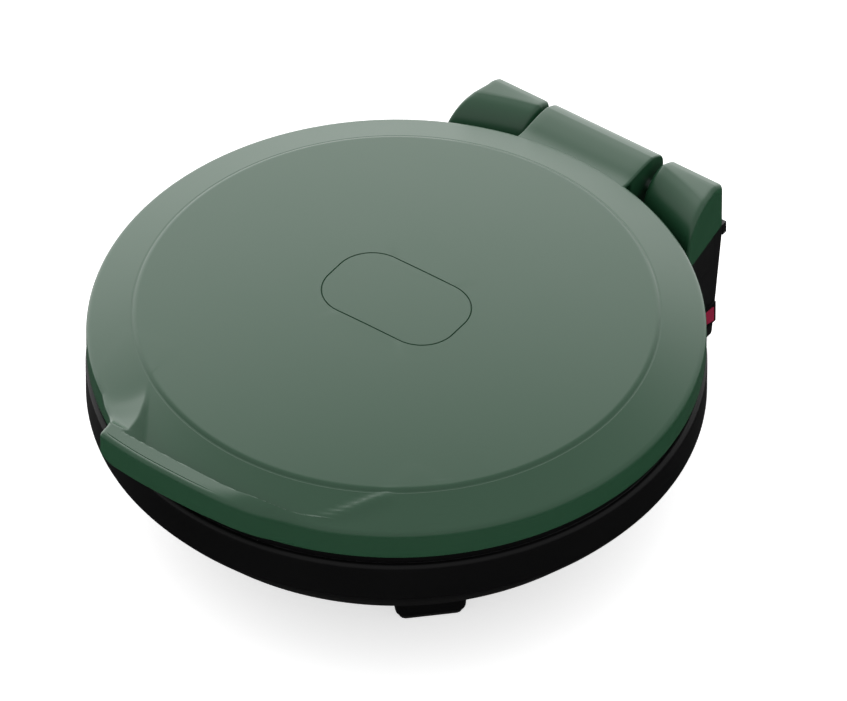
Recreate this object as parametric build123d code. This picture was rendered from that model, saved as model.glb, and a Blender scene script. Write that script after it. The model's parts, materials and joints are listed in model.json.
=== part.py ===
"""Electric pancake pan: a round two-plate cooker with a floating hinge.

Millimetres, +Z up, the front handle towards -Y. The model is drawn about the
pan's own axis, and written out with the origin under the middle of the whole
object, on the surface that it stands on.
"""

import os
from math import cos, radians, sin, sqrt

from build123d import *

os.makedirs("parts", exist_ok=True)

# General sizes
WALL = 2.5
CLEAR = 0.3
RUNNING = 0.06
SCREW_R = 1.5
HEAD_R = 3.0
HEAD_H = 1.8
BOSS_R = 3.4

# The radius of the body and the height of the bowl's rim set most other sizes
BODY_R = 167.8
RIM_Z = 84.0

# Lid shell
LID_R = BODY_R
LID_EDGE_Z = RIM_Z + 6.4
SHOULDER_Z = LID_EDGE_Z + 15.9
SHOULDER_BEND = 2.6
CREASE_R = BODY_R - 24.8
CREASE_Z = SHOULDER_Z + 9.3
PANEL_R = BODY_R - 35.8
PANEL_Z = CREASE_Z + 2.8
PANEL_CROWN = 8.2
BADGE_X = 82.0
BADGE_Y = 52.0
BADGE_CORNER = 20.5
GROOVE = 0.9
GROOVE_DEPTH = 0.5

# Lip at the front of the lid. Its left end stands clear and its right end runs into the rim
LIP_HALF = 74.5
LIP_REACH = 8.2
LIP_TOP_Z = SHOULDER_Z + 8.7
LIP_LOW_Z = LID_EDGE_Z + 7.1
LIP_END_LOW_Z = LIP_LOW_Z + 2.5
LIP_END_RISE = 9.0
LIP_INNER = LID_R - 4.8
LIP_FRONT = [(-40.0, 7.2), (-8.0, LIP_REACH), (22.0, 5.8), (46.0, -1.8)]
LIP_MEETS_RIM_X = 64.0
HORN_ROOT_X = 97.0
HORN_HIP_X = 82.0
HORN_HIP_OUT = 4.4
HORN_BACK = (78.0, LID_R - 55.8)
HORN_DIP_Y = 33.8 - LID_R
RECESS_Z = SHOULDER_Z - 1.7
RECESS_ROOT = (75.5, 43.8 - LID_R)
RECESS_FOOT = (52.0, 15.3 - LID_R)
RECESS_DRAFT = 9.0

# Base bowl
BASE_R = BODY_R + 0.5
RIM_R = BODY_R - 1.5
RIM_CHAMFER = 1.4
WALL_FOOT_Z = RIM_Z - 23.0
BELLY_R = BODY_R - 5.5
BELLY_Z = RIM_Z - 31.0
BELLY_LOW_R = BODY_R - 19.8
BELLY_LOW_Z = RIM_Z - 47.0
FLOOR_R = BODY_R - 40.3
FLOOR_Z = 20.5
COVER_R = FLOOR_R - 3.5
COVER_LEDGE = 9.0
COVER_SCREW_R = COVER_R - COVER_LEDGE / 2
COVER_SCREWS = 6

# Vents in the bottom cover
VENTS = 20
VENT_R = 0.47 * FLOOR_R
VENT_LONG = 30.0
VENT_WIDE = 3.4

# Lower cooking pan
PAN_FLANGE_R = BODY_R - 3.3
PAN_RIM_R = BODY_R - 14.8
PAN_FLOOR_R = PAN_RIM_R - 7.0
PAN_DEPTH = 25.0
PAN_WALL = 2.6
PAN_CORNER = 6.0
LOWER_TOP_Z = RIM_Z - 0.5
LOWER_FLOOR_Z = LOWER_TOP_Z - PAN_DEPTH

# Upper cooking pan and the ring that carries it
UPPER_FLANGE_R = BODY_R - 11.8
UPPER_RIM_R = BODY_R - 18.8
UPPER_FLOOR_R = UPPER_RIM_R - 5.0
UPPER_DEPTH = 8.0
UPPER_CORNER = 5.0
UPPER_LOW_Z = LOWER_TOP_Z + CLEAR
UPPER_FLOOR_Z = UPPER_LOW_Z + UPPER_DEPTH
RING_LOW_Z = UPPER_LOW_Z + PAN_WALL
RING_SCREW_R = BODY_R - 7.6
RING_SCREWS = 6
RING_T = 2.4

# Heating
ELEMENT_R = 0.566 * BODY_R
ELEMENT_TUBE = 4.0
ELEMENT_ARC = 330.0
LEG_R = 0.65 * ELEMENT_TUBE
LEG_TURN = 3.0
SHIELD_R = BODY_R - 33.8
SHIELD_DROP = 2 * ELEMENT_TUBE + 5.0
SHIELD_T = 0.8
SHIELD_HOLE_R = 26.0
SHIELD_EDGE = 6.0
STUD_R = 4.0
STUD_RING_R = 0.417 * BODY_R
THERMOSTAT_R = 8.5
THERMOSTAT_H = 9.0
FUSE_X = 20.0
FUSE_R = 2.2
FUSE_LENGTH = 16.0
COVER_BOSS = 0.55 * (LOWER_FLOOR_Z - PAN_WALL - SHIELD_DROP - FLOOR_Z - WALL)

# Feet
FOOT_RING_R = FLOOR_R - 15.5
FOOT_WIDTH = 41.0
FOOT_DEPTH = 18.0
PAD_H = 2.5

# Hinge
AXLE_Y = BODY_R + 20.2
AXLE_Z = RIM_Z + 3.5
AXLE_R = 3.5
AXLE_HALF = 62.0
FLOAT = 8.0
CENTRE_HALF = 35.75
BLOCK_GAP = 4.0
BLOCK_OUTER = 76.0
BLOCK_BOTTOM_Z = RIM_Z - 10.0
BLOCK_BACK_Y = AXLE_Y + 12.0
BLOCK_TOP_Z = RIM_Z + 22.0
FLARE_Y = BLOCK_BACK_Y - 10.0
FLARE = 0.2
EAR_X = 26.0
EAR_T = 3.0
EAR_R = AXLE_R + 4.0
BARREL_R = EAR_R + 4.5
SLIDER_Y = 2 * AXLE_R + 3.0
SLIDER_Z = 2 * AXLE_R + 1.0
GUIDE_X = 55.0
GUIDE_T = 6.0
GUIDE_SCREW_X = 6.3
ARM_LOW_Z = LID_EDGE_Z + 2.6
ARM_TOP_Z = ARM_LOW_Z + 3.0
ARM_SCREW_X = EAR_X - 11.0
ARM_SCREW_Y = BODY_R - 12.8

# Rear housing with the switch
HOUSING_HALF = BLOCK_OUTER
HOUSING_FRONT_Y = AXLE_Y - 36.0
HOUSING_BACK_Y = BLOCK_BACK_Y - 0.5
HOUSING_FOOT_Y = HOUSING_BACK_Y - 8.0
HOUSING_FOOT_Z = 1.5
HOUSING_WAIST_Z = BLOCK_BOTTOM_Z
HOUSING_CORNER = 3.0
CENTRE_TOP_Z = RIM_Z - 18.0
LEDGE = 2.5
LEDGE_H = 7.5
SWITCH_Y = HOUSING_FOOT_Y - 11.6
SWITCH_Z = 17.5
SWITCH_LONG = 21.0
SWITCH_TALL = 14.0
SWITCH_LIP = 1.6
ROCKER_TILT = 6.0
PIVOT_R = 0.9
PIVOT_IN = 1.6
GLAND_R = 6.0
GLAND_X = 0.0
GLAND_Z = 30.0

# The origin lies under the middle of the whole object
ORIGIN_Y = (HOUSING_BACK_Y + LEDGE - LID_R - LIP_REACH) / 2


def write(name, *solids):
    """Write one node, moved so that the origin is under the middle."""
    moved = [Pos(0, -ORIGIN_Y, 0) * solid for solid in solids]
    shape = moved[0] if len(moved) == 1 else Compound(children=moved)
    export_step(shape, f"parts/{name}.step")


def ring_points(count, radius, start=0.0):
    """Places on a circle about the pan's axis."""
    step = 360.0 / count
    return [
        (radius * cos(radians(start + step * i)), radius * sin(radians(start + step * i)))
        for i in range(count)
    ]


def turned(points):
    """A body of revolution about the pan's axis from (radius, height) points."""
    line = Polyline(*[(r, 0, z) for r, z in points], close=True)
    return revolve(make_face(line), Axis.Z)


def cylinder(x, y, low, high, radius):
    """An upright cylinder between two heights."""
    return Pos(x, y, (low + high) / 2) * Cylinder(radius, high - low)


def block(x, y, z):
    """A box from three (low, high) pairs."""
    centre = Pos(sum(x) / 2, sum(y) / 2, sum(z) / 2)
    return centre * Box(x[1] - x[0], y[1] - y[0], z[1] - z[0])


def along_x(points, low, high):
    """A prism along X from (y, z) points."""
    line = Polyline(*[(low, y, z) for y, z in points], close=True)
    return extrude(make_face(line), high - low, dir=(1, 0, 0))


def screw(x, y, seat, length, up=True):
    """A pan-head screw whose head bears on a seat."""
    sign = 1 if up else -1
    head_far = seat - sign * HEAD_H
    head = cylinder(x, y, min(seat, head_far), max(seat, head_far), HEAD_R)
    tip = seat + sign * length
    return head + cylinder(x, y, min(seat, tip), max(seat, tip), SCREW_R)


def mirrored(solid):
    return mirror(solid, Plane.YZ)


# Lid shell

def annulus_z(radius):
    """Height of the lid's sloping rim at a radius."""
    return SHOULDER_Z + (LID_R - radius) * (CREASE_Z - SHOULDER_Z) / (LID_R - CREASE_R)


def lid_body(inset):
    """The lid as a filled solid, drawn in by the wall for its inside."""
    dome = [
        (PANEL_R * share, PANEL_Z + PANEL_CROWN * (1 - share**2))
        for share in (0.0, 0.3, 0.55, 0.78, 1.0)
    ]
    bend = SHOULDER_BEND
    outline = [
        *dome,
        (PANEL_R + 6, PANEL_Z - 1.1),
        (CREASE_R, CREASE_Z),
        (LID_R - bend, annulus_z(LID_R - bend)),
        (LID_R - bend * 0.3, SHOULDER_Z - bend * 0.2),
        (LID_R, SHOULDER_Z - bend),
    ]
    radius = LID_R - inset
    points = [(r * radius / LID_R, z - inset) for r, z in outline]
    edge = LID_EDGE_Z - (1.0 if inset else 0.0)
    return turned([*points, (radius, edge), (0, edge)])


def rim_y(x):
    """Y of the lid's rim at an X, on the front side."""
    return -sqrt(LID_R**2 - x**2)


def handle_plan(inset):
    """Outline of the lip and its horns, from above."""
    half = LIP_HALF - inset
    end_y = inset - LID_R - 3.2
    corner = 2.5
    nose = [(corner - half, end_y), *[(x, inset - LID_R - out) for x, out in LIP_FRONT]]
    meet = (LIP_MEETS_RIM_X - inset, rim_y(LIP_MEETS_RIM_X) + inset)
    front = Spline(*nose, meet)
    shoulder = (LIP_MEETS_RIM_X + 16, rim_y(LIP_MEETS_RIM_X + 16) + 1.0 + inset)
    back_x, back_out = HORN_BACK
    root = (inset - HORN_ROOT_X, rim_y(HORN_ROOT_X) + 1.0)
    inside = Polyline(meet, shoulder, (back_x, -back_out), (-back_x, -back_out), root)
    neck = (inset - half - inset - 0.5, 6.3 - LID_R)
    hip = (inset - HORN_HIP_X, rim_y(HORN_HIP_X) - HORN_HIP_OUT)
    flank = ThreePointArc(root, hip, neck)
    left = Polyline(neck, (-half, end_y + corner), (corner - half, end_y))
    return make_face([front, *inside.edges(), flank, *left.edges()])


def recess_outline(spread):
    """Outline of the finger recess between the horns, spread at its sides."""
    root_x, root_y = RECESS_ROOT
    foot_x, foot_y = RECESS_FOOT
    foot_x += spread
    right = [
        (root_x + spread * 0.2, root_y + 8), (foot_x, foot_y), (foot_x - 3, 2.5 - LIP_INNER),
        (foot_x - 7, -LIP_INNER),
    ]
    left = [(-x, y) for x, y in reversed(right)]
    return Polyline(*right, *left, close=True)


def recess(inset, floor_z):
    """The finger recess, wider at its mouth than at its floor."""
    low = Pos(0, 0, floor_z) * make_face(recess_outline(inset))
    high = Pos(0, 0, LIP_TOP_Z + 2) * make_face(recess_outline(inset + RECESS_DRAFT))
    return loft([low, high], ruled=True)


def handle_band(low_z, end_low_z, high_z):
    """A prism along Y that trims the lip from below, with its left end raised."""
    far = HORN_ROOT_X + 20
    turn = LIP_END_RISE - LIP_HALF
    points = [
        (-far, end_low_z), (-LIP_HALF, end_low_z), (turn, low_z), (far, low_z),
        (far, high_z), (-far, high_z),
    ]
    line = Polyline(*[(x, 0, z) for x, z in points], close=True)
    return extrude(make_face(line), LID_R + 30, dir=(0, -1, 0))


def above(point, fall_x, fall_y, inset):
    """All that lies over a plane through a point, which falls towards +X and +Y."""
    plane = Plane(origin=point, z_dir=(fall_x, fall_y, 1))
    return plane * Pos(0, 0, 60 - inset) * Box(240, 240, 120)


def lip_trim(inset):
    """What is taken off the horns and off the lip's right end, from above."""
    run = HORN_DIP_Y + LIP_INNER - 2
    rise = LIP_TOP_Z - SHOULDER_Z
    radius = (run**2 + rise**2) / (2 * rise)
    middle = Pos(0, HORN_DIP_Y, SHOULDER_Z + radius) * Rot(0, 90, 0)
    scoop = middle * Cylinder(radius + inset, 240)
    scoop &= block((-120, 120), (2 - LIP_INNER, 68 - LID_R), (LID_EDGE_Z, LIP_TOP_Z))
    horn_side = above((60, 9.8 - LID_R, LIP_TOP_Z - 0.5), 0.45, 0.083, inset)
    lip_end = above((14, -LID_R - LIP_REACH, LIP_TOP_Z), 0.564, -1.171, inset)
    return [scoop, horn_side, lip_end]


def lifted(face, low, high):
    return extrude(Pos(0, 0, low) * face, high - low)


def make_lid_cover():
    high = LIP_TOP_Z + 1
    horns = lifted(handle_plan(0.0), LIP_LOW_Z, LIP_TOP_Z)
    horns &= handle_band(LIP_LOW_Z, LIP_END_LOW_Z, high)
    hollow = lifted(handle_plan(WALL), LIP_LOW_Z - 1, LIP_TOP_Z - WALL)
    hollow &= handle_band(LIP_LOW_Z - 1, LIP_END_LOW_Z - 1, high)
    horns -= recess(0.0, RECESS_Z)
    hollow -= recess(WALL, RECESS_Z - WALL)
    for outer_cut, inner_cut in zip(lip_trim(0.0), lip_trim(WALL)):
        horns -= outer_cut
        hollow -= inner_cut
    shell = lid_body(0.0) + horns - lid_body(WALL)
    shell -= hollow - cylinder(0, 0, LIP_LOW_Z - 2, high, LID_R)
    outline = RectangleRounded(BADGE_X, BADGE_Y, BADGE_CORNER)
    inner = RectangleRounded(
        BADGE_X - 2 * GROOVE, BADGE_Y - 2 * GROOVE, BADGE_CORNER - GROOVE
    )
    shell -= lifted(outline - inner, PANEL_Z, PANEL_Z + PANEL_CROWN + 1) - lid_body(GROOVE_DEPTH)
    # A window for the hinge arm in the back wall
    window = EAR_X + EAR_T / 2 + 1
    shell -= block((-window, window), (LID_R - 18, LID_R + 1), (LID_EDGE_Z - 1, ARM_TOP_Z + 1))
    for x, y in ring_points(RING_SCREWS, RING_SCREW_R):
        boss = cylinder(x, y, RING_LOW_Z + RING_T, annulus_z(RING_SCREW_R + BOSS_R) - 0.5, BOSS_R)
        boss -= cylinder(x, y, LID_EDGE_Z - 2, RING_LOW_Z + 11, SCREW_R + 0.1)
        shell += boss
    for x in (-ARM_SCREW_X, ARM_SCREW_X):
        boss = cylinder(x, ARM_SCREW_Y, ARM_TOP_Z, annulus_z(ARM_SCREW_Y + BOSS_R) - 1.5, BOSS_R)
        boss -= cylinder(x, ARM_SCREW_Y, ARM_TOP_Z - 1, ARM_TOP_Z + 7, SCREW_R + 0.1)
        shell += boss
    return shell


def make_handle_cover():
    """The closing strip under the lip."""
    thick = 2.0
    plate = lifted(handle_plan(WALL + CLEAR), LIP_LOW_Z, LIP_LOW_Z + thick)
    plate -= cylinder(0, 0, LIP_LOW_Z - 1, LIP_LOW_Z + thick + 1, LID_R + CLEAR)
    turn = LIP_END_RISE + CLEAR - LIP_HALF
    return plate & block((turn, LIP_HALF), (-LID_R - 30, 0), (LIP_LOW_Z, LIP_LOW_Z + thick))


# Cooking pans

def make_pan(flange_r, rim_r, floor_r, corner, lip_z, depth, up):
    """A dish with a flange. The lower one opens upwards, the upper one down."""
    s = 1 if up else -1
    floor = lip_z - s * depth
    under = floor - s * PAN_WALL
    flange = lip_z - s * PAN_WALL
    points = [
        (0, floor),
        (floor_r - corner, floor),
        (floor_r - corner * 0.25, floor + s * corner * 0.3),
        (floor_r, floor + s * corner),
        (rim_r, lip_z),
        (flange_r, lip_z),
        (flange_r, flange),
        (rim_r + PAN_WALL, flange),
        (floor_r + PAN_WALL * 0.8, floor + s * corner * 0.5),
        (floor_r - corner * 0.5, under),
        (0, under),
    ]
    return turned(points)


def make_lid_ring():
    """Black ring that holds the upper pan and closes the lid from below."""
    inner = UPPER_RIM_R + PAN_WALL + 1.0
    outer = LID_R - WALL - CLEAR
    skirt = outer - 1.8
    low = RING_LOW_Z
    top = low + RING_T
    drop = low - 1.6
    ring = turned(
        [(inner, low), (skirt, low), (skirt, drop), (outer, drop), (outer, top), (inner, top)]
    )
    for x, y in ring_points(RING_SCREWS, RING_SCREW_R):
        ring -= cylinder(x, y, low - 1, top + 1, SCREW_R + 0.2)
    return ring


def make_element(top_z, up):
    """A tubular ring with its two terminals. It lies against the dish."""
    centre = top_z - ELEMENT_TUBE if up else top_z + ELEMENT_TUBE
    start = 90 + (360 - ELEMENT_ARC) / 2
    section = Plane.XZ * Pos(ELEMENT_R, centre) * RegularPolygon(
        ELEMENT_TUBE, 6, major_radius=False
    )
    shape = Rot(0, 0, start) * revolve(section, Axis.Z, revolution_arc=ELEMENT_ARC)
    for angle in (start + LEG_TURN, start + ELEMENT_ARC - LEG_TURN):
        x = ELEMENT_R * cos(radians(angle))
        y = ELEMENT_R * sin(radians(angle))
        far = top_z - SHIELD_DROP if up else centre + 6
        shape += cylinder(x, y, min(centre, far), max(centre, far), LEG_R)
    return shape


def make_shield(top_z, up):
    """Thin reflector dish with a turned edge and a hole for the controls."""
    s = 1 if up else -1
    z = top_z - s * SHIELD_DROP
    bend_r = SHIELD_R - 8
    points = [
        (SHIELD_HOLE_R, z),
        (bend_r, z),
        (SHIELD_R, z + s * SHIELD_EDGE),
        (SHIELD_R, z + s * (SHIELD_EDGE + SHIELD_T)),
        (bend_r, z + s * SHIELD_T),
        (SHIELD_HOLE_R, z + s * SHIELD_T),
    ]
    dish = turned(points)
    for x, y in shield_studs():
        dish -= cylinder(x, y, z - 4, z + 4, SCREW_R + 0.2)
    opening = (360 - ELEMENT_ARC) / 2 + LEG_TURN
    for angle in (90 - opening, 90 + opening):
        x = ELEMENT_R * cos(radians(angle))
        y = ELEMENT_R * sin(radians(angle))
        dish -= cylinder(x, y, z - 4, z + 4, LEG_R + 1)
    return dish


def shield_studs():
    return ring_points(3, STUD_RING_R, 30.0)


def make_clamps(top_z, up):
    """Saddles that press the heating ring against the dish."""
    s = 1 if up else -1
    saddles = []
    low = top_z - s * (2 * ELEMENT_TUBE + CLEAR)
    for i in range(3):
        angle = 270.0 + 120.0 * i
        span = ELEMENT_TUBE + 7
        bar = Box(2 * span, 10, 1.5)
        place = Rot(0, 0, angle) * Pos(ELEMENT_R, 0, low - s * 0.75)
        saddle = place * bar
        for side in (-1, 1):
            leg_r = ELEMENT_R + side * (span - 1.5)
            leg_low, leg_high = sorted((low, top_z - s * 0.01))
            leg = Pos(leg_r, 0, (leg_low + leg_high) / 2) * Box(3, 10, leg_high - leg_low)
            saddle += Rot(0, 0, angle) * leg
        saddles.append(saddle)
    return saddles


def make_thermostat(top_z, up):
    s = 1 if up else -1
    flange_low, flange_high = sorted((top_z, top_z - s * 1.5))
    body_low, body_high = sorted((top_z - s * 1.5, top_z - s * THERMOSTAT_H))
    shape = cylinder(0, 0, flange_low, flange_high, THERMOSTAT_R + 3)
    shape += cylinder(0, 0, body_low, body_high, THERMOSTAT_R)
    for x in (-4, 4):
        low, high = sorted((top_z - s * THERMOSTAT_H, top_z - s * (THERMOSTAT_H + 2.5)))
        shape += block((x - 0.4, x + 0.4), (-3, 3), (low, high))
    return shape


def make_fuse(top_z, up):
    """Thermal fuse in its clip, which lies on the dish."""
    s = 1 if up else -1
    centre = top_z - s * (FUSE_R + 0.8)
    fuse = Pos(FUSE_X, 0, centre) * Rot(90, 0, 0) * Cylinder(FUSE_R, FUSE_LENGTH)
    for y in (-FUSE_LENGTH / 2 - 3, FUSE_LENGTH / 2 + 3):
        fuse += Pos(FUSE_X, y, centre) * Rot(90, 0, 0) * Cylinder(0.6, 8)
    low, high = sorted((top_z, centre))
    fuse += block((FUSE_X - 3, FUSE_X + 3), (-4, 4), (low, high))
    return fuse


# Base

def bowl_profile(inset):
    """The bowl's side from its upright wall down to its flat floor."""
    return [
        (BASE_R - inset, WALL_FOOT_Z),
        (BASE_R - 2.2 - inset, WALL_FOOT_Z - 3.4),
        (BELLY_R - inset * 0.9, BELLY_Z + inset * 0.4),
        (BELLY_LOW_R - inset * 0.65, BELLY_LOW_Z + inset * 0.8),
        (FLOOR_R, FLOOR_Z + inset),
    ]


def make_base_shell():
    """Bowl with a ledge for the pan and a stepped seat for its bottom cover."""
    outer = [(RIM_R, RIM_Z), (BASE_R, RIM_Z - RIM_CHAMFER), *bowl_profile(0.0)]
    ledge_top = LOWER_TOP_Z - PAN_WALL
    seat_r = PAN_FLANGE_R + CLEAR
    ledge_r = PAN_RIM_R + PAN_WALL + 1.5
    seat_z = FLOOR_Z + WALL
    inner = [
        (COVER_R - COVER_LEDGE, RIM_Z + 1),
        (seat_r, RIM_Z + 1),
        (seat_r, ledge_top),
        (ledge_r, ledge_top),
        (ledge_r, ledge_top - WALL),
        (BASE_R - WALL, ledge_top - WALL),
        *bowl_profile(WALL),
        (COVER_R - COVER_LEDGE, seat_z + WALL),
    ]
    inside = turned(inner) + cylinder(0, 0, FLOOR_Z - 1, RIM_Z + 1, COVER_R - COVER_LEDGE)
    inside += cylinder(0, 0, FLOOR_Z - 1, seat_z, COVER_R)
    shell = turned([(0, RIM_Z), *outer, (0, FLOOR_Z)]) - inside
    # The wires pass from the rear housing through this window
    shell -= block((-15, 15), (BELLY_LOW_R - 8, BASE_R + 2), (BELLY_LOW_Z - 3, BELLY_Z + 3))
    for x, y in ring_points(COVER_SCREWS, COVER_SCREW_R):
        shell += cylinder(x, y, seat_z + 0.5, seat_z + COVER_BOSS, BOSS_R)
        shell -= cylinder(x, y, FLOOR_Z - 1, seat_z + COVER_BOSS * 0.9, SCREW_R + 0.1)
    return shell


def make_bottom_cover():
    """Flat vented plate that closes the bowl from below."""
    plate = cylinder(0, 0, FLOOR_Z, FLOOR_Z + WALL, COVER_R - CLEAR)
    for i in range(VENTS):
        slot = Pos(VENT_R, 0, FLOOR_Z + WALL / 2) * Box(VENT_LONG, VENT_WIDE, 2 * WALL)
        plate -= Rot(0, 0, (i + 0.5) * 360.0 / VENTS) * slot
    for x, y in ring_points(COVER_SCREWS, COVER_SCREW_R):
        plate -= cylinder(x, y, FLOOR_Z - 1, FLOOR_Z + WALL + 1, SCREW_R + 0.2)
    return plate


def make_foot(x, y, angle):
    """A tapered block with rounded ends, and the pad that it stands on."""
    height = FLOOR_Z - PAD_H
    place = Pos(x, y, FLOOR_Z) * Rot(0, 0, angle)
    plan = RectangleRounded(FOOT_DEPTH, FOOT_WIDTH, 7)
    foot = place * extrude(plan, height, dir=(0, 0, -1), taper=4)
    pad_plan = RectangleRounded(FOOT_DEPTH - 6, FOOT_WIDTH - 6, 4)
    pad = Pos(x, y, 0) * Rot(0, 0, angle) * extrude(pad_plan, PAD_H)
    return foot, pad


# Hinge

def block_side(low_x, high_x, inset):
    """A hinge block's top and back, as a prism along X."""
    front = LID_R - 10
    back, top = BLOCK_BACK_Y - inset, BLOCK_TOP_Z - inset
    low = BLOCK_BOTTOM_Z - (1.0 if inset else 0.0)
    crown = ThreePointArc(
        (low_x, back - 22, top), (low_x, back - 10, top - 1.2), (low_x, back - 1.8, top - 3.2)
    )
    tail = ThreePointArc(
        (low_x, back - 1.8, top - 3.2), (low_x, back - 0.5, top - 4.0), (low_x, back, top - 5.4)
    )
    rest = Polyline(
        (low_x, back, top - 5.4), (low_x, back, low), (low_x, front, low),
        (low_x, front, top), (low_x, back - 22, top),
    )
    return extrude(make_face([crown, tail, *rest.edges()]), high_x - low_x, dir=(1, 0, 0))


def flare_plan(inner_x, inset):
    """Plan of the right-hand block. Its outer side spreads towards the lid."""
    outer = BLOCK_OUTER - inset
    front = LID_R - 8
    spread = (FLARE_Y - front) * FLARE
    return make_face(Polyline(
        (inner_x + inset, front), (outer + spread, front), (outer, FLARE_Y),
        (outer, BLOCK_BACK_Y + 1), (inner_x + inset, BLOCK_BACK_Y + 1), close=True,
    ))


def block_front(inset):
    """The room in front of a hinge block, round about the pan's own axis."""
    profile = [
        (7.7, BLOCK_BOTTOM_Z), (9.5, RIM_Z + 6), (12.2, RIM_Z + 12), (16.7, RIM_Z + 17),
        (21.7, RIM_Z + 20), (27.2, RIM_Z + 21.4), (40, RIM_Z + 23),
    ]
    low, high = BLOCK_BOTTOM_Z - 2, BLOCK_TOP_Z + 20
    points = [(LID_R + out + inset, z - inset) for out, z in profile]
    near, far = points[0][0], points[-1][0]
    return turned([(0, low - inset), (near, low - inset), *points, (far, high), (0, high)])


def hinge_block(inner_x, inset):
    """The right-hand block as a filled solid, drawn in by the wall for its inside."""
    solid = block_side(inner_x, BLOCK_OUTER + 20, inset)
    plan = flare_plan(inner_x, inset)
    return (solid & lifted(plan, BLOCK_BOTTOM_Z - 2, BLOCK_TOP_Z + 2)) - block_front(inset)


def make_hinge_cover():
    """Green cap on the right-hand tower, open below."""
    inner_x = CENTRE_HALF + BLOCK_GAP
    cap = hinge_block(inner_x, 0.0) - hinge_block(inner_x, WALL)
    slot_r = AXLE_R + 0.6
    slot = block(
        (inner_x - 1, inner_x + WALL + 0.01),
        (AXLE_Y - slot_r, AXLE_Y + slot_r),
        (BLOCK_BOTTOM_Z - 1, AXLE_Z + FLOAT),
    )
    slot += Pos(inner_x + WALL / 2, AXLE_Y, AXLE_Z + FLOAT) * Rot(0, 90, 0) * Cylinder(
        slot_r, WALL + 1
    )
    return cap - slot


def centre_outline(inset):
    """Side outline of the centre block, which turns about the axle."""
    x = -CENTRE_HALF + inset
    top = BLOCK_TOP_Z + 2.4 - inset
    back = BLOCK_BACK_Y - inset
    barrel = BARREL_R - inset
    low_front = LID_EDGE_Z - 1.4 + inset
    front = LID_R - 27.8
    brow = LID_R + 0.2
    sill = Polyline(
        (x, front, low_front), (x, AXLE_Y - barrel, low_front), (x, AXLE_Y - barrel, AXLE_Z)
    )
    belly = ThreePointArc(
        (x, AXLE_Y - barrel, AXLE_Z), (x, AXLE_Y, AXLE_Z - barrel), (x, AXLE_Y + barrel, AXLE_Z)
    )
    rear = Line((x, AXLE_Y + barrel, AXLE_Z), (x, back, top - 9))
    tail = ThreePointArc((x, back, top - 9), (x, back - 1.2, top - 6), (x, back - 4, top - 3.6))
    crown = ThreePointArc((x, back - 4, top - 3.6), (x, back - 16, top), (x, brow, top - 2.2))
    lead = Polyline((x, brow, top - 2.2), (x, front, top - 2.2), (x, front, low_front))
    face = make_face([*sill.edges(), belly, rear, tail, crown, *lead.edges()])
    return extrude(face, 2 * (CENTRE_HALF - inset), dir=(1, 0, 0))


def make_centre_cover():
    """Green shell round the middle of the axle, butted against the lid."""
    shell = centre_outline(0.0) - centre_outline(WALL)
    shell -= cylinder(0, 0, 0, 200, LID_R + CLEAR)
    shell -= Pos(0, AXLE_Y, AXLE_Z) * Rot(0, 90, 0) * Cylinder(AXLE_R + 0.7, 200)
    return shell


def make_hinge_arm():
    """Steel arm: a plate inside the lid with two bored ears round the axle."""
    end = EAR_X + EAR_T / 2
    elbow = LID_R + 8.2
    root = LID_R - 1.8
    arm = block((-end, end), (LID_R - 19.8, elbow), (ARM_LOW_Z, ARM_TOP_Z))
    for x in (-EAR_X, EAR_X):
        low, high = x - EAR_T / 2, x + EAR_T / 2
        web = [(root, ARM_TOP_Z), (root, ARM_LOW_Z), (AXLE_Y - 9, LID_EDGE_Z + 1.8)]
        web += [(AXLE_Y - 6, AXLE_Z - 3), (AXLE_Y, AXLE_Z + EAR_R), (elbow, ARM_TOP_Z)]
        arm += along_x(web, low, high)
        arm += Pos(x, AXLE_Y, AXLE_Z) * Rot(0, 90, 0) * Cylinder(EAR_R, EAR_T)
    arm -= Pos(0, AXLE_Y, AXLE_Z) * Rot(0, 90, 0) * Cylinder(AXLE_R + RUNNING, 200)
    for x in (-ARM_SCREW_X, ARM_SCREW_X):
        arm -= cylinder(x, ARM_SCREW_Y, ARM_LOW_Z - 1, ARM_TOP_Z + 1, SCREW_R + 0.2)
    return arm


def make_slider():
    """Block that carries one end of the axle in its fork."""
    slider = Pos(GUIDE_X, AXLE_Y, AXLE_Z) * Box(GUIDE_T, SLIDER_Y, SLIDER_Z)
    return slider - Pos(GUIDE_X, AXLE_Y, AXLE_Z) * Rot(0, 90, 0) * Cylinder(
        AXLE_R + RUNNING, GUIDE_T + 2
    )


def make_guide():
    """Fork on the tower. The slider rides between its prongs."""
    low = HOUSING_WAIST_Z
    half = SLIDER_Y / 2 + CLEAR
    top = AXLE_Z + FLOAT + SLIDER_Z / 2 - 0.5
    seat = AXLE_Z - SLIDER_Z / 2 - CLEAR
    back = BLOCK_BACK_Y - WALL - 2 * CLEAR
    fork = block(
        (GUIDE_X - GUIDE_T / 2, GUIDE_X + GUIDE_T / 2), (AXLE_Y - half - 5, back), (low, top)
    )
    fork -= block(
        (GUIDE_X - GUIDE_T, GUIDE_X + GUIDE_T), (AXLE_Y - half, AXLE_Y + half), (seat, top + 1)
    )
    fork += block((GUIDE_X - 9.5, GUIDE_X + 9.5), (guide_screw_y() - 3.3, back), (low, low + 3))
    fork &= hinge_block(CENTRE_HALF + BLOCK_GAP, WALL + 0.4)
    for x in guide_screw_x():
        fork -= cylinder(x, guide_screw_y(), low - 1, low + 4, SCREW_R + 0.2)
    return fork


def guide_screw_x():
    return [GUIDE_X - GUIDE_SCREW_X, GUIDE_X + GUIDE_SCREW_X]


def guide_screw_y():
    return AXLE_Y - SLIDER_Y / 2 - 6.0


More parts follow.
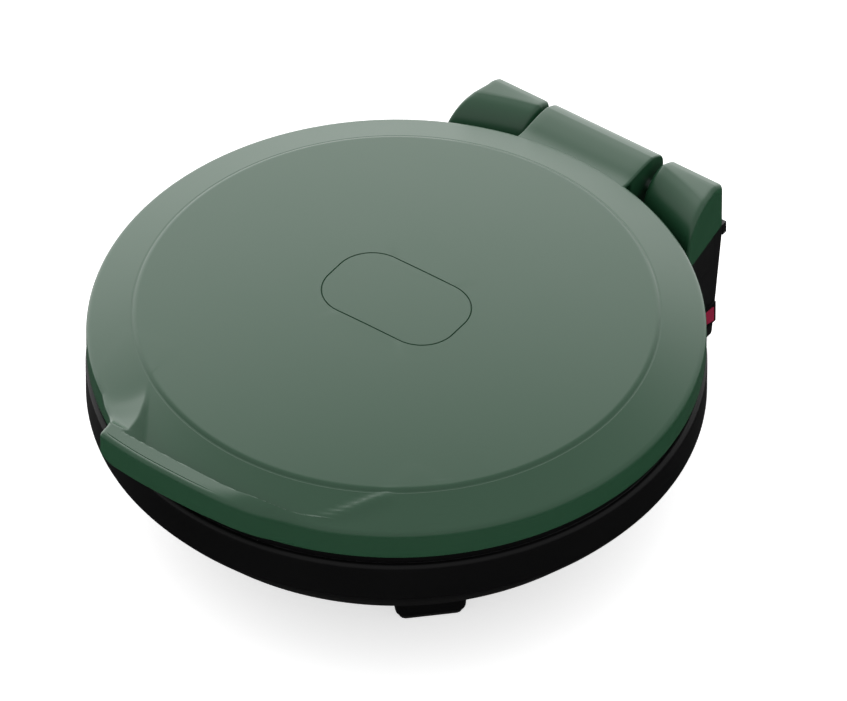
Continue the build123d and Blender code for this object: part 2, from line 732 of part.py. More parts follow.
def make_clip(x):
    ring = Pos(x, AXLE_Y, AXLE_Z) * Rot(0, 90, 0) * Cylinder(AXLE_R + 1.8, 1.0)
    return ring - Pos(x, AXLE_Y, AXLE_Z) * Rot(0, 90, 0) * Cylinder(AXLE_R + 0.01, 3)


# Rear housing, switch and wiring

def housing_solid(inset):
    """The stand with its two towers, drawn in by the wall for its inside."""
    half = HOUSING_HALF - inset
    foot = HOUSING_FOOT_Z + inset
    front = HOUSING_FRONT_Y + inset
    waist_back = HOUSING_BACK_Y - inset
    foot_back = HOUSING_FOOT_Y - inset
    line = [
        (front, foot),
        (foot_back - 3, foot),
        (foot_back, foot + 3),
        (waist_back, HOUSING_WAIST_Z - 9),
        (waist_back, HOUSING_WAIST_Z - inset),
        (front, HOUSING_WAIST_Z - inset),
    ]
    solid = along_x(line, -half, half)
    inner = CENTRE_HALF + BLOCK_GAP + inset
    solid -= block((-inner, inner), (0, 300), (CENTRE_TOP_Z - inset, 200))
    return solid


def tower_flare():
    """Wedge that spreads the right-hand tower's side to meet its cap."""
    front = HOUSING_FRONT_Y + 2
    spread = (FLARE_Y - front) * FLARE
    root = HOUSING_HALF - 0.5
    low = Polyline((root, front), (HOUSING_HALF, front), (HOUSING_HALF, FLARE_Y), (root, FLARE_Y),
                   close=True)
    high = Polyline((root, front), (HOUSING_HALF + spread, front), (HOUSING_HALF + 0.01, FLARE_Y),
                    (root, FLARE_Y), close=True)
    faces = [Pos(0, 0, HOUSING_WAIST_Z - 24) * make_face(low)]
    faces.append(Pos(0, 0, HOUSING_WAIST_Z) * make_face(high))
    return loft(faces, ruled=True)


def make_rear_housing():
    outer = housing_solid(0.0)
    upright = [
        e for e in outer.edges() if abs(e.center().X) > HOUSING_HALF - 1
        and e.center().Y > HOUSING_FOOT_Y and HOUSING_FOOT_Z + 4 < e.center().Z < CENTRE_TOP_Z
    ]
    shell = fillet(upright, HOUSING_CORNER) - housing_solid(WALL)
    ledge = block(
        (CENTRE_HALF + BLOCK_GAP, HOUSING_HALF), (HOUSING_BACK_Y - 1, HOUSING_BACK_Y + LEDGE),
        (HOUSING_WAIST_Z - LEDGE_H, HOUSING_WAIST_Z),
    )
    for solid in (ledge, tower_flare()):
        shell += solid
        shell += mirrored(solid)
    shell -= block(
        (-60, 60), (HOUSING_FRONT_Y - 2, HOUSING_FRONT_Y + 12), (GLAND_Z, CENTRE_TOP_Z - 6)
    )
    bowl = [(r + CLEAR, z - CLEAR) for r, z in bowl_profile(0.0)]
    floor = FLOOR_Z - CLEAR
    high = BLOCK_TOP_Z + 20
    shell -= turned([(0, high), (BASE_R + CLEAR, high), *bowl, (FLOOR_R, floor), (0, floor)])
    slot = block(
        (HOUSING_HALF - WALL - 1, HOUSING_HALF + 1),
        (SWITCH_Y - SWITCH_LONG / 2 + 1, SWITCH_Y + SWITCH_LONG / 2 - 1),
        (SWITCH_Z - SWITCH_TALL / 2 + 1, SWITCH_Z + SWITCH_TALL / 2 - 1),
    )
    shell -= slot
    shell -= Pos(GLAND_X, HOUSING_BACK_Y, GLAND_Z) * Rot(90, 0, 0) * Cylinder(GLAND_R, 40)
    for x in guide_screw_x():
        for side in (-1, 1):
            shell -= cylinder(
                side * x, guide_screw_y(), HOUSING_WAIST_Z - 5, HOUSING_WAIST_Z + 1, SCREW_R + 0.1
            )
    return largest(shell)


def largest(shape):
    """The biggest solid of a cut shape."""
    return sorted(shape.solids(), key=lambda s: s.volume)[-1]


def make_gland():
    """Bush in the back wall, with a flange outside and a bore for a lead."""
    share = (GLAND_Z - HOUSING_FOOT_Z) / (HOUSING_WAIST_Z - 9 - HOUSING_FOOT_Z)
    wall_y = HOUSING_FOOT_Y + (HOUSING_BACK_Y - HOUSING_FOOT_Y) * share
    gland = Pos(GLAND_X, wall_y - 2, GLAND_Z) * Rot(90, 0, 0) * Cylinder(GLAND_R - 0.1, 12)
    gland += Pos(GLAND_X, wall_y + 2.9, GLAND_Z) * Rot(90, 0, 0) * Cylinder(GLAND_R + 2, 2.4)
    return gland - Pos(GLAND_X, wall_y, GLAND_Z) * Rot(90, 0, 0) * Cylinder(3.4, 40)


def make_terminal_block():
    low = HOUSING_FOOT_Z + WALL
    middle = AXLE_Y - 12
    body = block((-56, -26), (middle - 8, middle + 8), (low, low + 12))
    for i in range(3):
        body -= cylinder(10 * i - 51, middle, low + 6, low + 13, 2.4)
    return body


def make_switch_body():
    """Frame on the housing's side and the box behind it."""
    y_half, z_half = SWITCH_LONG / 2, SWITCH_TALL / 2
    face = HOUSING_HALF
    body = block(
        (face, face + SWITCH_LIP), (SWITCH_Y - y_half, SWITCH_Y + y_half),
        (SWITCH_Z - z_half, SWITCH_Z + z_half),
    )
    body += block(
        (face - 13, face), (SWITCH_Y - y_half + 1.1, SWITCH_Y + y_half - 1.1),
        (SWITCH_Z - z_half + 1.1, SWITCH_Z + z_half - 1.1),
    )
    body -= block(
        (face - 6.5, face + 5), (SWITCH_Y - y_half + 1.8, SWITCH_Y + y_half - 1.8),
        (SWITCH_Z - z_half + 1.8, SWITCH_Z + z_half - 1.8),
    )
    for z in (SWITCH_Z - 3, SWITCH_Z + 3):
        tab_y = (SWITCH_Y - 2.4, SWITCH_Y + 2.4)
        body += block((face - 19, face - 12.9), tab_y, (z - 0.4, z + 0.4))
    pivot_z = SWITCH_TALL / 2 - 1.1
    bore = cylinder(face - PIVOT_IN, SWITCH_Y, -pivot_z, pivot_z, PIVOT_R + RUNNING)
    return body - Pos(0, 0, SWITCH_Z) * bore


def make_rocker():
    """Rocker that tips about an upright pivot. At rest its back end is in."""
    half = SWITCH_LONG / 2 - 1.8 - CLEAR - 0.1
    tall = SWITCH_TALL / 2 - 1.8 - CLEAR
    face = HOUSING_HALF
    line = Polyline(
        (face - 3.4, -half + 1.2), (face + 1.4, -half), (face + 0.9, -half * 0.45),
        (face + 0.7, 0), (face + 0.9, half * 0.45), (face + 1.4, half), (face - 3.4, half - 1.2),
        close=True,
    )
    rocker = extrude(make_face(line), tall, both=True)
    pin = SWITCH_TALL / 2 - 1.2
    rocker += cylinder(face - PIVOT_IN, 0, -pin, pin, PIVOT_R)
    rocker = Pos(PIVOT_IN - face, 0, 0) * rocker
    turn = Rot(0, 0, -ROCKER_TILT)
    return Pos(face - PIVOT_IN, SWITCH_Y, SWITCH_Z) * turn * rocker


def main():
    write("lid_cover", make_lid_cover())
    write("handle_cover", *make_handle_cover().solids())
    write("lid_ring", make_lid_ring())
    places = ring_points(RING_SCREWS, RING_SCREW_R)
    write("lid_ring_screws", *[screw(x, y, RING_LOW_Z, 10) for x, y in places])
    write("arm_screws", *[
        screw(x, ARM_SCREW_Y, ARM_LOW_Z, 9) for x in (-ARM_SCREW_X, ARM_SCREW_X)
    ])
    write("hinge_centre_cover", make_centre_cover())
    write("hinge_arm", make_hinge_arm())

    upper = make_pan(
        UPPER_FLANGE_R, UPPER_RIM_R, UPPER_FLOOR_R, UPPER_CORNER, UPPER_LOW_Z, UPPER_DEPTH, False
    )
    lower = make_pan(PAN_FLANGE_R, PAN_RIM_R, PAN_FLOOR_R, PAN_CORNER, LOWER_TOP_Z, PAN_DEPTH, True)
    for name, dish, floor, up in (
        ("upper", upper, UPPER_FLOOR_Z + PAN_WALL, False),
        ("lower", lower, LOWER_FLOOR_Z - PAN_WALL, True),
    ):
        s = 1 if up else -1
        shield_z = floor - s * SHIELD_DROP
        for x, y in shield_studs():
            near, far = sorted((floor + s * 0.5, shield_z + s * SHIELD_T))
            stud = cylinder(x, y, near, far, STUD_R)
            hole_near, hole_far = sorted((shield_z, floor - s * 3))
            dish += stud - cylinder(x, y, hole_near, hole_far, SCREW_R + 0.1)
        write(f"{name}_pan", dish)
        write(f"{name}_element", make_element(floor, up))
        write(f"{name}_element_clamps", *make_clamps(floor, up))
        write(f"{name}_heat_shield", make_shield(floor, up))
        write(f"{name}_shield_screws", *[
            screw(x, y, shield_z, SHIELD_DROP - 5, up) for x, y in shield_studs()
        ])
        write(f"{name}_thermostat", make_thermostat(floor, up))
        write(f"{name}_thermal_fuse", make_fuse(floor, up))

    write("base_shell", make_base_shell())
    write("bottom_cover", make_bottom_cover())
    write("bottom_screws", *[
        screw(x, y, FLOOR_Z, WALL + COVER_BOSS * 0.7)
        for x, y in ring_points(COVER_SCREWS, COVER_SCREW_R)
    ])
    for side, across in (("left", -1), ("right", 1)):
        for end, along in (("front", -1), ("rear", 1)):
            x = across * FOOT_RING_R * sin(radians(45))
            y = along * FOOT_RING_R * cos(radians(45))
            foot, pad = make_foot(x, y, 45 * across * along)
            write(f"foot_{end}_{side}", foot)
            write(f"pad_{end}_{side}", pad)

    cover, slider, guide = make_hinge_cover(), make_slider(), make_guide()
    for name, solid in (("hinge_cover", cover), ("slider", slider), ("axle_guide", guide)):
        write(f"right_{name}", solid)
        write(f"left_{name}", mirrored(solid))
    write("guide_screws", *[
        screw(side * x, guide_screw_y(), HOUSING_WAIST_Z + 3, 8, False)
        for x in guide_screw_x() for side in (-1, 1)
    ])
    axle = Pos(0, AXLE_Y, AXLE_Z) * Rot(0, 90, 0) * Cylinder(AXLE_R, 2 * AXLE_HALF)
    write("hinge_axle", axle)
    clip_x = GUIDE_X + GUIDE_T / 2 + CLEAR + 0.5
    write("axle_clips", make_clip(-clip_x), make_clip(clip_x))
    write("rear_housing", make_rear_housing())
    write("cord_gland", make_gland())
    write("terminal_block", make_terminal_block())
    write("switch_body", make_switch_body())
    write("switch_rocker", make_rocker())


main()
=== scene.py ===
# %% [markdown]
# # An electric pancake pan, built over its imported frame
# The pan is a black bowl on four feet with a round green lid, hinged at the back in a row of three
# green blocks. This lesson rebuilds its skin with soft edges and moulded finishes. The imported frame
# holds the true sizes and the joints, so each piece here is drawn where the frame has it, and then
# rides on one of the frame's bodies.

# %% Load the frame
import json
import math
import bmesh
import bpy
import numpy as np
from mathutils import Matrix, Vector


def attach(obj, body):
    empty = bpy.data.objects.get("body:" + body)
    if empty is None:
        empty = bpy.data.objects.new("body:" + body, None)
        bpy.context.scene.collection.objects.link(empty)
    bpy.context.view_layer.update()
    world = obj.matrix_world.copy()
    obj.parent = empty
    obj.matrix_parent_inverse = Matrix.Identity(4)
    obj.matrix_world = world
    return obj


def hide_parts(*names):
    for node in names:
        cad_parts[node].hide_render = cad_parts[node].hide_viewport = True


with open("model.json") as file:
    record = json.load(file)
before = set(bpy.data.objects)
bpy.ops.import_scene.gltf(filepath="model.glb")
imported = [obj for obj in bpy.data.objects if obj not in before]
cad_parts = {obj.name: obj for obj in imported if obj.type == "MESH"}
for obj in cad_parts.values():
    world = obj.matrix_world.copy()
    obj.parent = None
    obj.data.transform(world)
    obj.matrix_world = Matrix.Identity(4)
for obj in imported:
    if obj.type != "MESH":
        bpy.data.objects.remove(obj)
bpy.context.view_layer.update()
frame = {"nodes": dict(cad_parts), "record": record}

nodes = frame["nodes"]

# %% [markdown]
# ## Units and the pan's own axis
# The lid and the bowl are round about one upright axis, which stands 13 mm in front of the origin
# because the hinge sticks out behind. All sizes below are in millimetres about that axis, as on a
# drawing, and one function turns them into metres in the frame.

# %% From the drawing to the frame
PAN_AXIS_Y = -13.0


def in_frame(points):
    """Turns (x, y, z) rows about the pan's axis, in millimetres, into the frame's metres."""
    rows = np.asarray(points, dtype=float).reshape(-1, 3).copy()
    rows[:, 1] += PAN_AXIS_Y
    return rows / 1000.0


print("axis at", in_frame([(0, 0, 0)]).tolist())

# %% [markdown]
# ## The camera
# The photograph was taken from well above and to the right, with a long lens, so the lid's rings are
# nearly true ellipses. A wide lens from nearby would make the hinge look too small. The camera
# therefore stands far off and its lens is long.

# %% Place the camera
AZIMUTH = math.radians(35.7)
ELEVATION = math.radians(42.45)
CAMERA_DISTANCE = 15.0
LENS = 1179.4
AIM_HEIGHT = 0.107
AIM_RIGHT = 0.01465
AIM_DOWN = 0.0140
look = Vector((
    math.sin(AZIMUTH) * math.cos(ELEVATION),
    -math.cos(AZIMUTH) * math.cos(ELEVATION),
    math.sin(ELEVATION),
))
across = Vector((math.cos(AZIMUTH), math.sin(AZIMUTH), 0))
upward = look.cross(across)
aim = Vector((0, PAN_AXIS_Y / 1000, AIM_HEIGHT)) + across * AIM_RIGHT - upward * AIM_DOWN
camera_data = bpy.data.cameras.new("camera")
camera_data.lens = LENS
camera_data.clip_end = 60
camera = bpy.data.objects.new("camera", camera_data)
bpy.context.scene.collection.objects.link(camera)
camera.location = aim + look * CAMERA_DISTANCE
camera.rotation_mode = "QUATERNION"
camera.rotation_quaternion = look.to_track_quat("Z", "Y")
bpy.context.scene.camera = camera
bpy.context.scene.view_settings.view_transform = "Standard"
print("camera", [round(x, 3) for x in camera.location])

# %% [markdown]
# ## Light and floor
# In the photograph the lid's middle is lighter than its sides, and its far edge is lightest. A satin
# surface does that when a broad soft light stands low behind the object and little light comes from
# the front. Several lamps could do it, but their edges would show as patches in the satin, so the
# whole sky is one smooth gradient here. The floor is pale and plain. It takes the contact shadow and
# glows a little more to the camera, because the photograph's ground is white, but it isn't mirrored
# in the black bowl.

# %% Helpers for node trees
def add_node(tree, kind, **settings):
    """A new node in a tree, with its properties set."""
    node = tree.nodes.new(kind)
    for name, value in settings.items():
        setattr(node, name, value)
    return node


def set_inputs(node, **values):
    """Sets a node's inputs by name, with underscores for the spaces."""
    for name, value in values.items():
        node.inputs[name.replace("_", " ")].default_value = value
    return node


def link_all(tree, *pairs):
    """Joins each output to its input."""
    for output, socket in pairs:
        tree.links.new(output, socket)


print("node helpers ready")

# %% A soft sky, brighter behind the object
world = bpy.data.worlds.new("studio")
bpy.context.scene.world = world
world.use_nodes = True
sky = world.node_tree
sky.nodes.clear()


def sky_range(curve, low, high, start, end):
    """A node that runs from one strength to another while its value goes from low to high."""
    node = add_node(sky, "ShaderNodeMapRange", interpolation_type=curve)
    return set_inputs(node, From_Min=low, From_Max=high, To_Min=start, To_Max=end)


LIGHT_TURN = math.radians(8)
direction = add_node(sky, "ShaderNodeTexCoord")
behind = add_node(sky, "ShaderNodeVectorMath", operation="DOT_PRODUCT")
to_light = AZIMUTH + LIGHT_TURN
behind.inputs[1].default_value = (-math.sin(to_light), math.cos(to_light), 0)
height = add_node(sky, "ShaderNodeSeparateXYZ")
# The light behind the object, the side in front of it, the dark below a slanting floor line, and the
# dimmer band low in the sky
gradient = sky_range("SMOOTHERSTEP", 0.32, 0.85, 1.05, 3.6)
front = sky_range("SMOOTHSTEP", -0.9, 0.1, 0.95, 1.0)
ground = sky_range("SMOOTHSTEP", -0.15, 0.0, 0.03, 1.0)
low_sky = sky_range("SMOOTHSTEP", -0.1, 0.45, 0.7, 1.0)
floor_line = add_node(sky, "ShaderNodeMath", operation="MULTIPLY_ADD")
floor_line.inputs[1].default_value = 0.45
shade = add_node(sky, "ShaderNodeMath", operation="MULTIPLY")
softened = add_node(sky, "ShaderNodeMath", operation="MULTIPLY")
strength = add_node(sky, "ShaderNodeMath", operation="MULTIPLY")
seen = add_node(sky, "ShaderNodeLightPath")
pick = set_inputs(add_node(sky, "ShaderNodeMix", data_type="FLOAT"), B=1.0)
background = add_node(sky, "ShaderNodeBackground")
out = add_node(sky, "ShaderNodeOutputWorld")
link_all(
    sky,
    (direction.outputs["Generated"], behind.inputs[0]),
    (direction.outputs["Generated"], height.inputs[0]),
    (behind.outputs["Value"], gradient.inputs["Value"]),
    (behind.outputs["Value"], front.inputs["Value"]),
    (behind.outputs["Value"], floor_line.inputs[0]),
    (height.outputs["Z"], floor_line.inputs[2]),
    (floor_line.outputs["Value"], ground.inputs["Value"]),
    (height.outputs["Z"], low_sky.inputs["Value"]),
    (gradient.outputs["Result"], shade.inputs[0]),
    (front.outputs["Result"], shade.inputs[1]),
    (shade.outputs["Value"], softened.inputs[0]),
    (low_sky.outputs["Result"], softened.inputs[1]),
    (softened.outputs["Value"], strength.inputs[0]),
    (ground.outputs["Result"], strength.inputs[1]),
    (seen.outputs["Is Camera Ray"], pick.inputs["Factor"]),
    (strength.outputs["Value"], pick.inputs["A"]),
    (pick.outputs["Result"], background.inputs["Strength"]),
    (background.outputs["Background"], out.inputs["Surface"]),
)
print("sky nodes", len(sky.nodes))

# %% A pale floor
floor_mesh = bpy.data.meshes.new("floor")
floor_mesh.from_pydata([(-6, -6, 0), (6, -6, 0), (6, 6, 0), (-6, 6, 0)], [], [(0, 1, 2, 3)])
floor = bpy.data.objects.new("floor", floor_mesh)
bpy.context.scene.collection.objects.link(floor)
floor_finish = bpy.data.materials.new("pale_floor")
floor_finish.use_nodes = True
floor_tree = floor_finish.node_tree
floor_shader = set_inputs(
    floor_tree.nodes["Principled BSDF"], Base_Color=(0.9, 0.9, 0.9, 1), Roughness=0.9,
    Specular_IOR_Level=0.1, Emission_Color=(1, 1, 1, 1),
)
floor_seen = add_node(floor_tree, "ShaderNodeLightPath")
floor_glow = set_inputs(add_node(floor_tree, "ShaderNodeMapRange"), To_Min=0.4, To_Max=0.62)
link_all(
    floor_tree,
    (floor_seen.outputs["Is Camera Ray"], floor_glow.inputs["Value"]),
    (floor_glow.outputs["Result"], floor_shader.inputs["Emission Strength"]),
)
floor_mesh.materials.append(floor_finish)
floor.visible_glossy = False
print("floor", len(floor_mesh.polygons), "face")

# %% [markdown]
# ## Finishes
# A moulded finish is never one flat colour. The real lid is satin with a very fine grain, and the
# black bowl has a coarser spark texture. Both come from one shader group that is built once: it
# turns the place on the piece into a slightly uneven colour, an uneven roughness and a fine height.
# The group gives values only, and each material has its own shader, because an export to other
# programs can read a shader only when it stands in the material itself.

# %% One group for every moulded or coated surface
def add_socket(tree, name, way, kind, value=None):
    socket = tree.interface.new_socket(name, in_out=way, socket_type=kind)
    if value is not None:
        socket.default_value = value
    return socket


grain = bpy.data.node_groups.new("surface_grain", "ShaderNodeTree")
add_socket(grain, "Color", "INPUT", "NodeSocketColor", (0.5, 0.5, 0.5, 1))
add_socket(grain, "Grain Scale", "INPUT", "NodeSocketFloat", 2500.0)
add_socket(grain, "Mottle Scale", "INPUT", "NodeSocketFloat", 30.0)
add_socket(grain, "Mottle", "INPUT", "NodeSocketFloat", 0.04)
add_socket(grain, "Roughness", "INPUT", "NodeSocketFloat", 0.4)
add_socket(grain, "Unevenness", "INPUT", "NodeSocketFloat", 0.04)
add_socket(grain, "Color", "OUTPUT", "NodeSocketColor")
add_socket(grain, "Roughness", "OUTPUT", "NodeSocketFloat")
add_socket(grain, "Height", "OUTPUT", "NodeSocketFloat")

given = add_node(grain, "NodeGroupInput")
result = add_node(grain, "NodeGroupOutput")
where = add_node(grain, "ShaderNodeTexCoord")
fine = set_inputs(add_node(grain, "ShaderNodeTexNoise"), Detail=2.0)
mottle = set_inputs(add_node(grain, "ShaderNodeTexNoise"), Detail=3.0)
centred = add_node(grain, "ShaderNodeMath", operation="SUBTRACT")
centred.inputs[1].default_value = 0.5
amount = add_node(grain, "ShaderNodeMath", operation="MULTIPLY_ADD")
amount.inputs[2].default_value = 1.0
tint = add_node(grain, "ShaderNodeVectorMath", operation="SCALE")
rough = add_node(grain, "ShaderNodeMath", operation="MULTIPLY_ADD")
link_all(
    grain,
    (where.outputs["Object"], fine.inputs["Vector"]),
    (where.outputs["Object"], mottle.inputs["Vector"]),
    (given.outputs["Grain Scale"], fine.inputs["Scale"]),
    (given.outputs["Mottle Scale"], mottle.inputs["Scale"]),
    (mottle.outputs["Fac"], centred.inputs[0]),
    (centred.outputs["Value"], amount.inputs[0]),
    (given.outputs["Mottle"], amount.inputs[1]),
    (given.outputs["Color"], tint.inputs[0]),
    (amount.outputs["Value"], tint.inputs["Scale"]),
    (centred.outputs["Value"], rough.inputs[0]),
    (given.outputs["Unevenness"], rough.inputs[1]),
    (given.outputs["Roughness"], rough.inputs[2]),
    (tint.outputs["Vector"], result.inputs["Color"]),
    (rough.outputs["Value"], result.inputs["Roughness"]),
    (fine.outputs["Fac"], result.inputs["Height"]),
)
print("group", grain.name, [s.name for s in grain.interface.items_tree])

# %% A helper that makes one finish
def finish(name, color, roughness, grain_scale=2500.0, bump=0.02, mottle=0.06, unevenness=0.05,
           metallic=0.0, specular=0.5, mottle_scale=30.0):
    """A material with the surface grain group and its own shader."""
    material = bpy.data.materials.new(name)
    material.use_nodes = True
    tree = material.node_tree
    shader = set_inputs(tree.nodes["Principled BSDF"], Metallic=metallic, Specular_IOR_Level=specular)
    group = set_inputs(
        add_node(tree, "ShaderNodeGroup", node_tree=grain), Color=(*color, 1), Grain_Scale=grain_scale,
        Mottle_Scale=mottle_scale, Mottle=mottle, Roughness=roughness, Unevenness=unevenness,
    )
    relief = set_inputs(add_node(tree, "ShaderNodeBump"), Strength=bump, Distance=0.001)
    link_all(
        tree,
        (group.outputs["Color"], shader.inputs["Base Color"]),
        (group.outputs["Roughness"], shader.inputs["Roughness"]),
        (group.outputs["Height"], relief.inputs["Height"]),
        (relief.outputs["Normal"], shader.inputs["Normal"]),
    )
    return material


print("finish helper ready")

# %% [markdown]
# ## The finishes of this pan
# The green is a satin paint or a dyed plastic with a soft grey sheen. The bowl is near black with
# little gloss, and the housing behind it has a little more. Inside, the plates have a dark coating
# with pale specks, and the hidden metal is zinc plated, oxidised or aluminised.

# %% Make the finishes
lid_green = finish("lid_green", (0.014, 0.064, 0.029), 0.34, 2600.0, 0.015, 0.05, 0.04)
black_plastic = finish("black_plastic", (0.0035, 0.0035, 0.0037), 0.42, 1500.0, 0.05, 0.3, 0.08,
                       specular=0.16)
stand_plastic = finish("stand_plastic", (0.007, 0.007, 0.0072), 0.4, 1500.0, 0.05, 0.2, 0.08,
                       specular=0.3)
rubber = finish("rubber", (0.012, 0.012, 0.012), 0.8, 900.0, 0.08, 0.2, 0.1, specular=0.25)
zinc_steel = finish("zinc_steel", (0.55, 0.56, 0.58), 0.34, 1200.0, 0.03, 0.12, 0.12, metallic=1.0)
heater_steel = finish("heater_steel", (0.20, 0.185, 0.17), 0.5, 900.0, 0.06, 0.4, 0.2,
                      metallic=1.0, mottle_scale=60.0)
reflector = finish("reflector", (0.72, 0.73, 0.74), 0.28, 700.0, 0.03, 0.08, 0.15, metallic=1.0)
control_body = finish("control_body", (0.62, 0.58, 0.50), 0.55, 1400.0, 0.04, 0.1, 0.08)
slide_plastic = finish("slide_plastic", (0.55, 0.55, 0.53), 0.45, 1800.0, 0.02, 0.05, 0.05)
switch_red = finish("switch_red", (0.26, 0.010, 0.040), 0.22, 2200.0, 0.008, 0.06, 0.03)
print("finishes", len(bpy.data.materials))

# %% [markdown]
# The cooking plates need one thing more than the shared group gives: a scatter of pale specks. A
# Voronoi pattern gives the distance to the nearest of many points, and a narrow range of that
# distance leaves small dots. A second noise hides most of them, so the specks are irregular.

# %% The speckled non-stick coating
non_stick = finish("non_stick", (0.018, 0.018, 0.019), 0.36, 1800.0, 0.05, 0.15, 0.08)
tree = non_stick.node_tree
shader = tree.nodes["Principled BSDF"]
group = next(n for n in tree.nodes if n.type == "GROUP")
speck_place = add_node(tree, "ShaderNodeTexCoord")
specks = set_inputs(add_node(tree, "ShaderNodeTexVoronoi"), Scale=420.0)
dot = set_inputs(add_node(tree, "ShaderNodeMapRange"), From_Min=0.20, From_Max=0.12)
few = set_inputs(add_node(tree, "ShaderNodeTexNoise"), Scale=500.0)
some = set_inputs(add_node(tree, "ShaderNodeMapRange"), From_Min=0.56, From_Max=0.62)
both = add_node(tree, "ShaderNodeMath", operation="MULTIPLY")
speckled = set_inputs(add_node(tree, "ShaderNodeMix", data_type="RGBA"), B=(0.22, 0.22, 0.22, 1))
link_all(
    tree,
    (speck_place.outputs["Object"], specks.inputs["Vector"]),
    (speck_place.outputs["Object"], few.inputs["Vector"]),
    (specks.outputs["Distance"], dot.inputs["Value"]),
    (few.outputs["Fac"], some.inputs["Value"]),
    (dot.outputs["Result"], both.inputs[0]),
    (some.outputs["Result"], both.inputs[1]),
    (both.outputs["Value"], speckled.inputs["Factor"]),
    (group.outputs["Color"], speckled.inputs["A"]),
    (speckled.outputs["Result"], shader.inputs["Base Color"]),
)
print("specks in", non_stick.name)

# %% [markdown]
# ## Turning a grid of points into a piece
# Most of the skin is a net of points in rows: rings round the axis, or outlines along a block. One
# helper stitches such a net into quads, and another merges the points that fall together, turns all
# faces outwards and marks the sharp edges. Soft shading with marked edges looks like a moulding, and
# it needs far fewer faces than a shape that is round down to the last facet.

# %% Helpers for nets and finished pieces
def net_faces(rows, columns, closed):
    """Quads between the rows of a net. A closed net joins its last column to its first."""
    faces = []
    for row in range(rows - 1):
        for column in range(columns if closed else columns - 1):
            after = (column + 1) % columns
            faces.append((
                row * columns + column, row * columns + after,
                (row + 1) * columns + after, (row + 1) * columns + column,
            ))
    return faces


MERGE_WITHIN = 2e-6
SHORTEST_EDGE = 1e-6


def closed_mesh(name, rows, faces, sharp):
    """A mesh from rows in metres, with doubles merged, faces turned outwards and edges marked."""
    mesh = bpy.data.meshes.new(name)
    mesh.from_pydata(rows.tolist(), [], faces)
    build = bmesh.new()
    build.from_mesh(mesh)
    bmesh.ops.remove_doubles(build, verts=build.verts, dist=MERGE_WITHIN)
    bmesh.ops.dissolve_degenerate(build, edges=build.edges, dist=SHORTEST_EDGE)
    bmesh.ops.recalc_face_normals(build, faces=build.faces)
    build.to_mesh(mesh)
    build.free()
    mesh.shade_smooth()
    mesh.set_sharp_from_angle(angle=math.radians(sharp))
    return mesh


def piece(name, points, faces, material, sharp=35.0):
    """A finished mesh object from points in millimetres about the pan's axis."""
    mesh = closed_mesh(name, in_frame(points), faces, sharp)
    mesh.materials.append(material)
    made = bpy.data.objects.new(name, mesh)
    bpy.context.scene.collection.objects.link(made)
    print(name, "faces", len(mesh.polygons))
    return made


print("net of 2 x 3 points:", net_faces(2, 3, False))

# %% Helpers for round pieces
def rounded(points, radius, steps=5):
    """Outline of (r, z) points with its corners rounded, for a body of revolution."""
    path = [np.array(points[0], dtype=float)]
    for before, corner, after in zip(points, points[1:], points[2:]):
        before, corner, after = (np.array(p, dtype=float) for p in (before, corner, after))
        a, b = before - corner, after - corner
        reach = min(radius, 0.45 * np.linalg.norm(a), 0.45 * np.linalg.norm(b))
        start = corner + a / np.linalg.norm(a) * reach
        end = corner + b / np.linalg.norm(b) * reach
        for i in range(steps + 1):
            t = i / steps
            path.append((1 - t) ** 2 * start + 2 * t * (1 - t) * corner + t**2 * end)
    path.append(np.array(points[-1], dtype=float))
    return path


def turned_piece(name, outline, material, columns=256, sharp=35.0):
    """A closed body of revolution about the pan's axis from (r, z) points."""
    turn = np.linspace(0, 2 * math.pi, columns, endpoint=False)
    net = [[(r * math.cos(a), r * math.sin(a), z) for a in turn] for r, z in outline]
    points = np.array(net).reshape(-1, 3)
    return piece(name, points, net_faces(len(outline), columns, True), material, sharp)


print("helpers ready")

# %% [markdown]
# ## The black bowl
# The bowl is a body of revolution: a thin bright edge at the rim, an upright wall, a soft turn and a
# long slope to the flat bottom. A lathe profile is the natural way. Its corners are rounded first,
# because the light band round the lower turn is what shows in the photograph.

# %% Turn the bowl
outer_side = rounded([
    (164.8, 84.0), (166.3, 84.0), (168.3, 82.4), (168.3, 61.0), (165.6, 57.2), (162.3, 53.0),
    (148.0, 37.0), (127.5, 20.5), (124.0, 20.5),
], 1.2)
inner_side = [
    (124.0, 23.0), (115.0, 23.0), (115.0, 25.5), (126.8, 25.5), (145.7, 39.5), (159.8, 55.0),
    (165.8, 62.0), (165.8, 77.5), (157.1, 77.5), (157.1, 80.9), (164.8, 80.9), (164.8, 84.0),
]
bowl = turned_piece("bowl", [*outer_side, *inner_side], black_plastic, 288, 40)
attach(bowl, "base")
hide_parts("base_shell")

# %% [markdown]
# ## The cooking plates
# Each plate is a shallow dish with a flange. The lower one lies in the bowl and the upper one hangs
# in the lid, facing it. They show as soon as the lid opens.

# %% Turn the two plates and the lid's inner ring
lower_dish = rounded([
    (0, 58.5), (146.0, 58.5), (153.0, 83.5), (164.5, 83.5), (164.5, 80.9), (155.6, 80.9),
    (148.0, 57.0), (144.0, 55.9), (0, 55.9),
], 4.5)
lower_plate = turned_piece("lower_plate", lower_dish, non_stick, 192, 50)
upper_dish = rounded([
    (0, 91.8), (144.0, 91.8), (149.0, 83.8), (156.0, 83.8), (156.0, 86.4), (151.6, 86.4),
    (146.0, 93.4), (142.0, 94.4), (0, 94.4),
], 3.0)
upper_plate = turned_piece("upper_plate", upper_dish, non_stick, 192, 50)
ring_outline = rounded([
    (152.6, 86.4), (163.2, 86.4), (163.2, 84.8), (165.0, 84.8), (165.0, 88.8), (152.6, 88.8),
    (152.6, 86.4),
], 0.4)
inner_ring = turned_piece("inner_ring", ring_outline, black_plastic, 256, 40)
